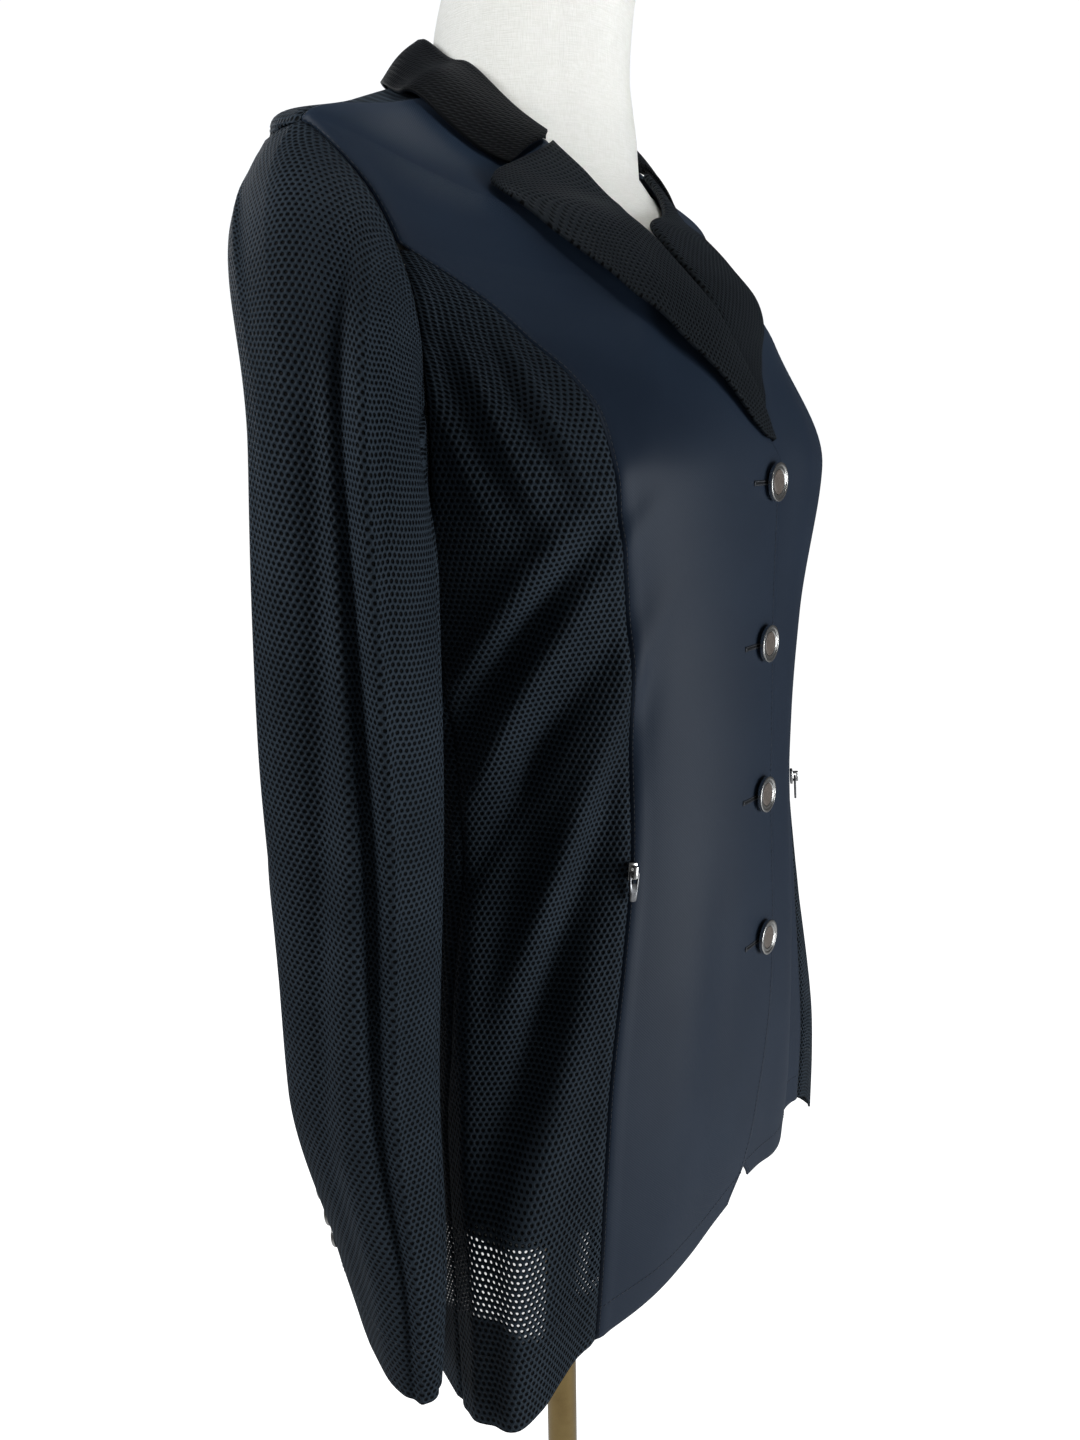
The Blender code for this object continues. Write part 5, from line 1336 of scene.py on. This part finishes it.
def smoothed_rows(rows, count):
    """Rows of points resampled on a smooth curve through them, even in length."""
    spans = np.linalg.norm(np.diff(rows, axis=0), axis=-1).mean(axis=1)
    at = np.concatenate([[0.0], np.cumsum(spans)])
    wanted = np.linspace(0.0, at[-1], count + 1)
    slopes = np.gradient(rows, at, axis=0)
    fine = []
    for place in wanted:
        k = int(np.clip(np.searchsorted(at, place) - 1, 0, len(at) - 2))
        span = at[k + 1] - at[k]
        t = (place - at[k]) / span
        fine.append(
            rows[k] * (1.0 + 2.0 * t) * (1.0 - t) ** 2 + rows[k + 1] * t * t * (3.0 - 2.0 * t)
            + slopes[k] * span * t * (1.0 - t) ** 2 + slopes[k + 1] * span * t * t * (t - 1.0))
    return np.array(fine)


def build_collar(materials):
    """Collar folded over its stand, gorge to gorge."""
    gorge = -float(ROLL_ANGLE(NECK_RUN))
    half = np.linspace(gorge, 180.0, COLLAR_COLUMNS // 2 + 1)
    rows = collar_columns(np.concatenate([-half, half[-2::-1]]))
    points = smoothed_rows(rows, COLLAR_ROWS)
    # The collar's material is the fine mesh darkened with painted shade
    return panel(
        "collar", points, materials["collar_painted_shade_mesh"], LAPEL_THICK, "fine_mesh",
        anchor=points.shape[1] // 2)


def placed(point, along, out):
    """Matrix of a frame with y along, z out and x across, measured from the side hem."""
    z_way = Vector(out).normalized()
    along = Vector(along)
    y_way = (along - z_way * along.dot(z_way)).normalized()
    x_way = y_way.cross(z_way)
    matrix = Matrix((x_way, y_way, z_way)).transposed().to_4x4()
    matrix.translation = Vector(point) + Vector((0.0, 0.0, HEM_HEIGHT))
    return matrix


def turned_piece(name, profile, sides, matrix, material):
    """Closed round piece from radius and height points; radius 0 closes both ends."""
    mesh = bmesh.new()
    rings = []
    for radius, height in profile:
        if radius == 0.0:
            rings.append([mesh.verts.new((0.0, 0.0, height))])
            continue
        turns = [2.0 * math.pi * k / sides for k in range(sides)]
        rings.append([
            mesh.verts.new((radius * math.cos(turn), radius * math.sin(turn), height))
            for turn in turns
        ])
    for low, high in zip(rings, rings[1:]):
        for k in range(sides):
            after = (k + 1) % sides
            corners = [low[k % len(low)], low[after % len(low)]]
            corners += [high[after % len(high)], high[k % len(high)]]
            mesh.faces.new(list(dict.fromkeys(corners)))
    return finished(name, mesh, matrix, material)


def finished(name, mesh, matrix, material, body=COAT):
    """Object from a bmesh in its own frame, riding on a body."""
    bmesh.ops.recalc_face_normals(mesh, faces=mesh.faces)
    data = bpy.data.meshes.new(name)
    mesh.to_mesh(data)
    mesh.free()
    made = linked(name, data, material)
    made.matrix_world = matrix
    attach(made, body)
    return made


def corner_arc(before, corner, after, reach, steps):
    """Points of a short arc that rounds a corner, its reach taken along both sides."""
    start = corner + (before - corner).normalized() * reach
    end = corner + (after - corner).normalized() * reach
    shares = [k / steps for k in range(steps + 1)]
    return [start * (1.0 - t) ** 2 + corner * 2.0 * t * (1.0 - t) + end * t * t for t in shares]


def rounded_profile(points, radius, steps=4):
    """Profile whose inner corners are rounded by short arcs, none over nearly half a side."""
    rounded = [points[0]]
    for corners in zip(points, points[1:], points[2:]):
        before, corner, after = map(Vector, corners)
        shortest = min((before - corner).length, (after - corner).length)
        reach = min(radius, shortest * ARC_SHARE)
        rounded += [tuple(spot) for spot in corner_arc(before, corner, after, reach, steps)]
    return rounded + [points[-1]]


def button_place(number):
    """Angle and run of a front button's middle, 0 the top one."""
    run = BUTTON_TOP_RUN - BUTTON_PITCH * number
    return math.degrees(math.asin(BUTTON_ACROSS / COAT_SECTION["half_width"](run))), run


def build_front_buttons(materials):
    """Front buttons: a rimmed metal body round a speckled disc."""
    body = rounded_profile(BUTTON_BODY, BUTTON_CORNER)
    disc = rounded_profile(BUTTON_DISC, DISC_CORNER)
    for number in range(BUTTON_COUNT):
        place = button_place(number)
        out = normal_of(coat_surface, *place)
        back = coat_surface(*place) + out * (WALL / 2.0 + GAP)
        matrix = placed(back, (0.0, 0.0, 1.0), out)
        label = "front_button_" + str(number + 1)
        metal = turned_piece("metal_" + label, body, BUTTON_SIDES, matrix, materials["silver"])
        covers(label)
        inlay = turned_piece("disc_" + label, disc, BUTTON_SIDES, matrix, materials["speckled"])
        covers(label + "_inlay")


def sleeve_normal(turn, run):
    """Outward unit normal of the right sleeve."""
    ahead, behind = (sleeve_point(turn + step, run, 0.0) for step in (SLEEVE_TURN_STEP, -SLEEVE_TURN_STEP))
    lower, upper = (sleeve_point(turn, run + step, 0.0) for step in (NORMAL_RUN_STEP, -NORMAL_RUN_STEP))
    return unit(np.cross(lower - upper, ahead - behind))


def build_cuff_buttons(materials):
    """Three small dark buttons with bright rims on the back of each cuff."""
    body, disc = rounded_profile(CUFF_BUTTON_BODY, CUFF_BUTTON_CORNER), CUFF_BUTTON_DISC
    for side in SIDES:
        mirror = np.array([-SIDE_SIGN[side], 1.0, 1.0])
        for number, button in enumerate(CUFF_BUTTONS, 1):
            out = sleeve_normal(button.turn, button.run)
            back = sleeve_point(button.turn, button.run, SLEEVE_SET_BACK[side])
            back = back + out * (WALL / 2.0 + button.seat)
            matrix = placed(back * mirror, (0.0, 0.0, 1.0), out * mirror)
            label = "cuff_button_" + side + "_" + str(number)
            metal = turned_piece("metal_" + label, body, CUFF_BUTTON_SIDES, matrix, materials["silver"])
            covers(label)
            face = turned_piece("disc_" + label, disc, CUFF_BUTTON_SIDES, matrix, materials["dark_disc"])
            covers(label)


def seam_frame(side):
    """Frame on the style seam at the zip's slider, its z 0 on the cloth's outer face."""
    def on_seam(run):
        return SIDE_SIGN[side] * STYLE_ANGLE(run), run

    out = normal_of(solid_surface, *on_seam(SLIDER_RUN))
    step = SLIDER_LENGTH / 2.0
    way = solid_surface(*on_seam(SLIDER_RUN + step)) - solid_surface(*on_seam(SLIDER_RUN - step))
    seat = solid_surface(*on_seam(SLIDER_RUN)) + out * (WALL / 2.0 + SLIDER_SEAT)
    return placed(seat, way, out)


def rounded_outline(half_width, top, bottom, tip_half_width, corner, steps=6):
    """Outline of a tapering tab, its four corners rounded, anticlockwise from the lower left."""
    low = [Vector((-tip_half_width, bottom)), Vector((tip_half_width, bottom))]
    corners = low + [Vector((half_width, top)), Vector((-half_width, top))]
    outline = []
    for k in range(4):
        outline += corner_arc(corners[k - 1], corners[k], corners[(k + 1) % 4], corner, steps)
    return outline


def ring_plate(name, outer, inner, thickness, matrix, material, body):
    """Flat plate between two outlines with the same number of points, slightly bevelled."""
    mesh = bmesh.new()
    count = len(outer)
    straight = 0.5 - PULL_BEVEL_SHARE
    layers = []
    for outline, away in ((outer, -1.0), (inner, 1.0)):
        middle = sum(outline, Vector((0.0, 0.0))) / count
        for height, draw in ((-0.5, away), (-straight, 0.0), (straight, 0.0), (0.5, away)):
            drawn = [
                spot + (spot - middle).normalized() * thickness * PULL_BEVEL_SHARE * draw
                for spot in outline]
            layers.append([mesh.verts.new((*spot, height * thickness)) for spot in drawn])
    order = layers[:4] + layers[:3:-1]
    for low, high in zip(order, order[1:] + order[:1]):
        for k in range(count):
            after = (k + 1) % count
            mesh.faces.new((low[k], low[after], high[after], high[k]))
    return finished(name, mesh, matrix, material, body)


def box_faces(mesh, low, high, bevel):
    """Add a bevelled box between two corners to a bmesh."""
    low, high = Vector(low), Vector(high)
    made = bmesh.ops.create_cube(mesh, size=1.0)["verts"]
    for vertex in made:
        vertex.co = vertex.co * (high - low) + (high + low) / 2.0
    edges = list({edge for vertex in made for edge in vertex.link_edges})
    bmesh.ops.bevel(mesh, geom=edges, offset=bevel, segments=2, affect="EDGES", profile=0.5)


def build_zip_slider(side, matrix, materials):
    """Slider body with its bridge."""
    mesh = bmesh.new()
    half, reach = SLIDER_WIDTH / 2.0, SLIDER_LENGTH / 2.0
    box_faces(mesh, (-half, -reach, 0.0), (half, reach, SLIDER_HEIGHT), SLIDER_BEVEL)
    long, wide = BRIDGE_LENGTH / 2.0, BRIDGE_WIDTH / 2.0
    top = BRIDGE_HEIGHT - BRIDGE_BAR
    box_faces(mesh, (-wide, -long, top), (wide, long, BRIDGE_HEIGHT), BRIDGE_BEVEL)
    for low in (-long, long - BRIDGE_BAR):
        foot = (-wide, low, SLIDER_HEIGHT / 2.0)
        box_faces(mesh, foot, (wide, low + BRIDGE_BAR, top + LEG_OVERLAP), LEG_BEVEL)
    slider = finished("zip_slider_metal_" + side, mesh, matrix, materials["silver"])
    covers("zip_slider_" + side)


def build_zip_pull(side, matrix, materials):
    """Tapering pull tab that hangs from the bridge by its eye."""
    hinge = matrix @ Matrix.Translation((0.0, -PULL_BELOW_MIDDLE, PULL_ABOVE_CLOTH))
    half, top = PULL_WIDTH / 2.0, PULL_THICK / 2.0
    outer = rounded_outline(half, top, top - PULL_LENGTH, PULL_WIDTH * PULL_TIP_SHARE, PULL_CORNER)
    eye_half, eye_top = half - EYE_WALL, top - PULL_THICK
    inner = rounded_outline(
        eye_half, eye_top, eye_top - EYE_LENGTH, eye_half * EYE_TIP_SHARE, EYE_CORNER)
    pull = ring_plate(
        "zip_pull_metal_" + side, outer, inner, PULL_THICK, hinge, materials["grey_metal"],
        side + "_pull")
    covers("zip_pull_" + side)


def build_zips(materials):
    """Zip sliders, pulls and the tapes behind the seams."""
    for side in SIDES:
        matrix = seam_frame(side)
        build_zip_slider(side, matrix, materials)
        build_zip_pull(side, matrix, materials)
        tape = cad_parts["zip_tape_" + side].data.materials
        tape.clear()
        tape.append(materials["tape"])


def turned_grid(grid, edge):
    """Grid turned so that the named edge is its left one."""
    grid = grid if edge in BOTH_EDGES else grid.transpose(1, 0, 2)
    return grid[:, ::-1] if edge in ("right", "top") else grid


def inset_line(points, values, edge, distance):
    """Vectors of a grid read along the line at a distance from one of its edges."""
    from_edge, _ = edge_distances(turned_grid(points, edge))
    return np.array([
        [np.interp(distance, reach, line[:, axis]) for axis in range(3)]
        for reach, line in zip(from_edge, turned_grid(values, edge))
    ])


def even_places(path, pitch):
    """Points and unit ways along a path at an even pitch."""
    at = lengths_along(path)
    wanted = np.arange(pitch / 2.0, at[-1], pitch)
    behind, places, ahead = (
        np.stack([np.interp(wanted + step, at, path[:, axis]) for axis in range(3)], -1)
        for step in (-WAY_STEP, 0.0, WAY_STEP))
    return places, unit(ahead - behind)


def stitch_mesh(name, places, ways, outs, material, length=STITCH_LENGTH, half=STITCH_HALF_WIDTH):
    """Row of short stitches, each a small spindle lying along its way."""
    across = unit(np.cross(ways, outs))
    turns = (np.arange(STITCH_SIDES) * 2.0 * math.pi / STITCH_SIDES)[:, None]
    ring = (across[:, None] * np.cos(turns) + outs[:, None] * np.sin(turns)) * half
    middles = places[:, None]
    rings = [
        middles + ways[:, None] * length * share + ring * girth for share, girth in STITCH_RINGS]
    vertices = np.stack(rings, 1).reshape(-1, 3)
    spindle = tube_faces(len(STITCH_RINGS), STITCH_SIDES)
    starts = range(0, len(vertices), len(STITCH_RINGS) * STITCH_SIDES)
    faces = [[start + corner for corner in face] for start in starts for face in spindle]
    piece = mesh_object(name, vertices, faces, material)


def topstitch(name, points, edge, distance, thickness, material, span=(0.0, 1.0)):
    """Row of stitches at a distance from an edge of a grid, over a span of its length."""
    path = inset_line(points, points, edge, distance)
    facing = unit(inset_line(points, grid_normals(points), edge, distance))
    low, high = (int(round(share * (len(path) - 1))) for share in span)
    path, facing = path[low:high + 1], facing[low:high + 1]
    path = path + facing * (thickness / 2.0 + STITCH_HALF_WIDTH * STITCH_RISE_SHARE)
    places, ways = even_places(path, STITCH_PITCH)
    nearest = np.array([np.linalg.norm(path - place, axis=-1).argmin() for place in places])
    stitch_mesh(name, places, ways, facing[nearest], material)


def build_stitching(thread, fronts, sides, back, sleeves):
    """Topstitching along the seams, edges and hems; a front's free edge is named as its side."""
    up_to_break = (0.0, BREAK_RUN / NECK_RUN * EDGE_STITCH_END)
    for side in SIDES:
        front = fronts[side][1]
        topstitch(
            "stitch_style_" + side, front, OUTER_EDGE[side], STYLE_STITCH_OFF, SMOOTH_THICK, thread)
        topstitch(
            "stitch_edge_" + side, front, side, EDGE_STITCH_OFF, SMOOTH_THICK, thread, up_to_break)
        topstitch("stitch_front_hem_" + side, front, "bottom", FRONT_HEM_OFF, SMOOTH_THICK, thread)
        topstitch("stitch_side_hem_" + side, sides[side][1], "bottom", MESH_HEM_OFF, MESH_THICK, thread)
        for part in ("sleeve_top_", "sleeve_under_"):
            name, cuff = "stitch_" + part + "cuff_" + side, sleeves[part + side][1]
            topstitch(name, cuff, "bottom", CUFF_HEM_OFF, MESH_THICK, thread)
    topstitch("stitch_back_hem", back[1], "bottom", MESH_HEM_OFF, MESH_THICK, thread)


def build_buttonholes(materials):
    """Horizontal buttonholes of the right front: a slit painted dark as painted shade, inside a border of
    stitches.
    """
    start = BUTTON_ACROSS - BUTTONHOLE_START
    reach = np.linspace(start, start - BUTTONHOLE_LENGTH, BUTTONHOLE_POINTS)
    for number in range(BUTTON_COUNT):
        _, run = button_place(number)
        angles = np.degrees(np.arcsin(reach / COAT_SECTION["half_width"](run)))
        runs = np.full(angles.shape, run)
        outs = normal_of(coat_surface, angles, runs)
        line = coat_surface(angles, runs) + outs * SMOOTH_THICK / 2.0
        ups = unit(np.cross(outs, np.gradient(line, axis=0)))
        ups *= np.where(ups[:, 2:] < 0.0, -1.0, 1.0)
        label = "buttonhole_" + str(number + 1)
        raised = line + outs * SLIT_LIFT
        slit = np.stack([raised - ups * SLIT_HALF_WIDTH, raised + ups * SLIT_HALF_WIDTH], 0)
        piece = cloth(label + "_slit", slit[:, ::-1], materials["slit"], SLIT_THICK)
        border = np.concatenate([raised - ups * BORDER_OFF, raised + ups * BORDER_OFF])
        stitch_mesh(
            label + "_border", border, np.tile(ups, (2, 1)), np.tile(outs, (2, 1)),
            materials["thread"], *BORDER_STITCH)
        along = unit(line[-1] - line[-2])
        end = line[-1] + along * TACK_OFF + outs[-1] * TACK_LIFT
        tack = np.array([end + along * k * TACK_PITCH for k in range(TACK_COUNT)])
        stitch_mesh(
            label + "_tack", tack, np.tile(ups[-1], (TACK_COUNT, 1)),
            np.tile(outs[-1], (TACK_COUNT, 1)), materials["thread"], *TACK_STITCH)


def form_surface(angle, run):
    """Form's surface below the neckline, the coat's plain surface moved in by its ease."""
    ease = COAT_SECTION["ease"](run)
    return plain_coat(angle, run) - normal_of(plain_coat, angle, run) * ease[..., None]


def build_dress_form(materials):
    """Limbless dress form of linen with its sewn seams, closed by a foot and a neck cap."""
    turns = np.arange(FORM_SIDES) * 360.0 / FORM_SIDES
    runs = finer([FORM_FOOT_RUN, SHOULDER_RUN, NECK_RUN], FORM_ROW_STEP)
    rows = [form_surface(turns, np.full(turns.shape, run)) for run in runs]
    rows[0][:, 2] = FORM_FOOT_RUN
    neck = column_curves(FORM_NECK, "run")
    neck_runs = finer([FORM_NECK[1].run, FORM_NECK[-2].run, FORM_NECK[-1].run], FORM_NECK_STEP)
    rows += [section_point(neck, turns, np.full(turns.shape, run)) for run in neck_runs]
    rows = np.array(rows)
    off = np.min([np.abs(wrapped(turns - seam)) for seam in FORM_SEAM_ANGLES], axis=0)
    groove = FORM_SEAM_DEPTH * np.exp(-((off / FORM_SEAM_WIDTH) ** 2))
    level = (rows - rows.mean(axis=1, keepdims=True)) * np.array([1.0, 1.0, 0.0])
    rows = rows - unit(level) * groove[None, :, None]
    faces = tube_faces(len(rows), FORM_SIDES)
    piece = mesh_object("linen_form", rows.reshape(-1, 3), faces, materials["linen"])
    covers("dress_form")


def build_stand(materials):
    """Brass pole with its ferrules and a round base."""
    base = [(0.0, 0.0), (BASE_RADIUS, 0.0), (BASE_RADIUS, BASE_HEIGHT * BASE_EDGE_SHARE)]
    base += [(BASE_RADIUS - BASE_CHAMFER, BASE_HEIGHT), (BASE_HUB, BASE_HEIGHT), (0.0, BASE_HEIGHT)]
    low, top = BASE_HEIGHT + GAP, HEM_HEIGHT + FORM_FOOT_RUN - GAP
    wide = POLE_RADIUS + FERRULE_RIM
    pole = [(0.0, low), (wide, low), (wide, low + FOOT_FERRULE[0])]
    pole += [(POLE_RADIUS, low + FOOT_FERRULE[1]), (POLE_RADIUS, top - TOP_FERRULE[1])]
    pole += [(wide, top - TOP_FERRULE[0]), (wide, top), (0.0, top)]
    stand = (
        ("base", rounded_profile(base, BASE_CORNER), BASE_SIDES, Matrix.Identity(4)),
        ("pole", rounded_profile(pole, POLE_CORNER), POLE_SIDES,
         Matrix.Translation((0.0, POLE_Y, 0.0))),
    )
    for name, profile, sides, matrix in stand:
        made = turned_piece("brass_" + name, profile, sides, matrix, materials["brass"])
        covers("stand_" + name)


def measured_cut(points):
    """Width, length and area of a grid laid flat."""
    from_left, _ = edge_distances(points)
    from_bottom, _ = column_distances(points)
    across = points[:-1, 1:] - points[:-1, :-1]
    along = points[1:, :-1] - points[:-1, :-1]
    area = np.linalg.norm(np.cross(across, along), axis=-1).sum()
    return float(from_left.max()), float(from_bottom.max()), float(area)


def declare_sheets(pieces):
    """Measure the flat width, length and area of each piece of cloth."""
    for piece, points in pieces:
        width, length, area = measured_cut(points)


def area_light(light):
    """Large soft light aimed at a point."""
    data = bpy.data.lights.new(light.name, "AREA")
    data.shape = "RECTANGLE"
    data.size, data.size_y = light.size
    data.energy = light.power
    data.color = light.colour
    data.spread = math.radians(light.spread)
    made = bpy.data.objects.new(light.name, data)
    made.location = light.place
    aim = Vector(light.target) - Vector(light.place)
    made.rotation_euler = aim.to_track_quat("-Z", "Y").to_euler()
    bpy.context.scene.collection.objects.link(made)


def build_studio(materials):
    """Pale floor, soft lights and a pale surround."""
    corners = [(x * FLOOR_REACH, y * FLOOR_REACH, 0.0) for x, y in ((-1, -1), (1, -1), (1, 1), (-1, 1))]
    data = bpy.data.meshes.new("floor")
    data.from_pydata(corners, [], [(0, 1, 2, 3)])
    linked("floor", data, materials["floor"])
    for light in LIGHTS:
        area_light(light)
    world = bpy.data.worlds.new("studio")
    world.use_nodes = True
    tree = world.node_tree
    background = tree.nodes["Background"]
    background.inputs["Color"].default_value = (*WORLD_COLOUR, 1.0)
    seen = node(tree, "LightPath").outputs["Is Camera Ray"]
    strength = mapped(tree, seen, 0.0, 1.0, AMBIENT, SURROUND)
    tree.links.new(strength, background.inputs["Strength"])
    bpy.context.scene.world = world
    bpy.context.scene.view_settings.view_transform = "Standard"


def build_camera():
    """Camera at the photograph's angle."""
    azimuth, pitch = math.radians(CAMERA_AZIMUTH), math.radians(CAMERA_PITCH)
    roll = math.radians(CAMERA_ROLL)
    away = Vector((math.sin(azimuth), -math.cos(azimuth), 0.0))
    right = Vector((math.cos(azimuth), math.sin(azimuth), 0.0))
    forward = -away * math.cos(pitch) - Vector((0.0, 0.0, math.sin(pitch)))
    above = right.cross(forward)
    tilted_right = right * math.cos(roll) + above * math.sin(roll)
    tilted_up = above * math.cos(roll) - right * math.sin(roll)
    matrix = Matrix((tilted_right, tilted_up, -forward)).transposed().to_4x4()
    place = away * CAMERA_DISTANCE + right * CAMERA_ASIDE
    matrix.translation = place + Vector((0.0, 0.0, HEM_HEIGHT + CAMERA_HEIGHT))
    data = bpy.data.cameras.new("camera")
    data.lens = CAMERA_LENS
    data.sensor_width = CAMERA_SENSOR
    data.clip_start = CAMERA_CLIP
    camera = bpy.data.objects.new("camera", data)
    camera.matrix_world = matrix
    bpy.context.scene.collection.objects.link(camera)
    bpy.context.scene.camera = camera


def main():
    """Build everything that shows."""
    materials = {
        "smooth": smooth_material(),
        "thread": thread_material(),
        "slit": slit_material(),
        "speckled": speckled_material(),
        "linen": linen_material(),
        "tape": tape_material(),
        "floor": floor_material(),
    }
    materials.update({key: mesh_material(look) for key, look in MESHES.items()})
    materials.update({key: metal_material(look) for key, look in METALS.items()})
    build_dress_form(materials)
    fronts = build_fronts(materials)
    sides = build_sides(materials)
    back = build_back(materials)
    sleeves = build_sleeves(materials)
    lapels = build_lapels(materials)
    collar = build_collar(materials)
    build_front_buttons(materials)
    build_cuff_buttons(materials)
    build_zips(materials)
    build_stitching(materials["thread"], fronts, sides, back, sleeves)
    build_buttonholes(materials)
    build_stand(materials)
    declare_sheets([*fronts.values(), *sides.values(), back])
    declare_sheets([collar])
    declare_sheets(sleeves.values())
    declare_sheets(lapels.values())
    build_studio(materials)
    build_camera()


main()
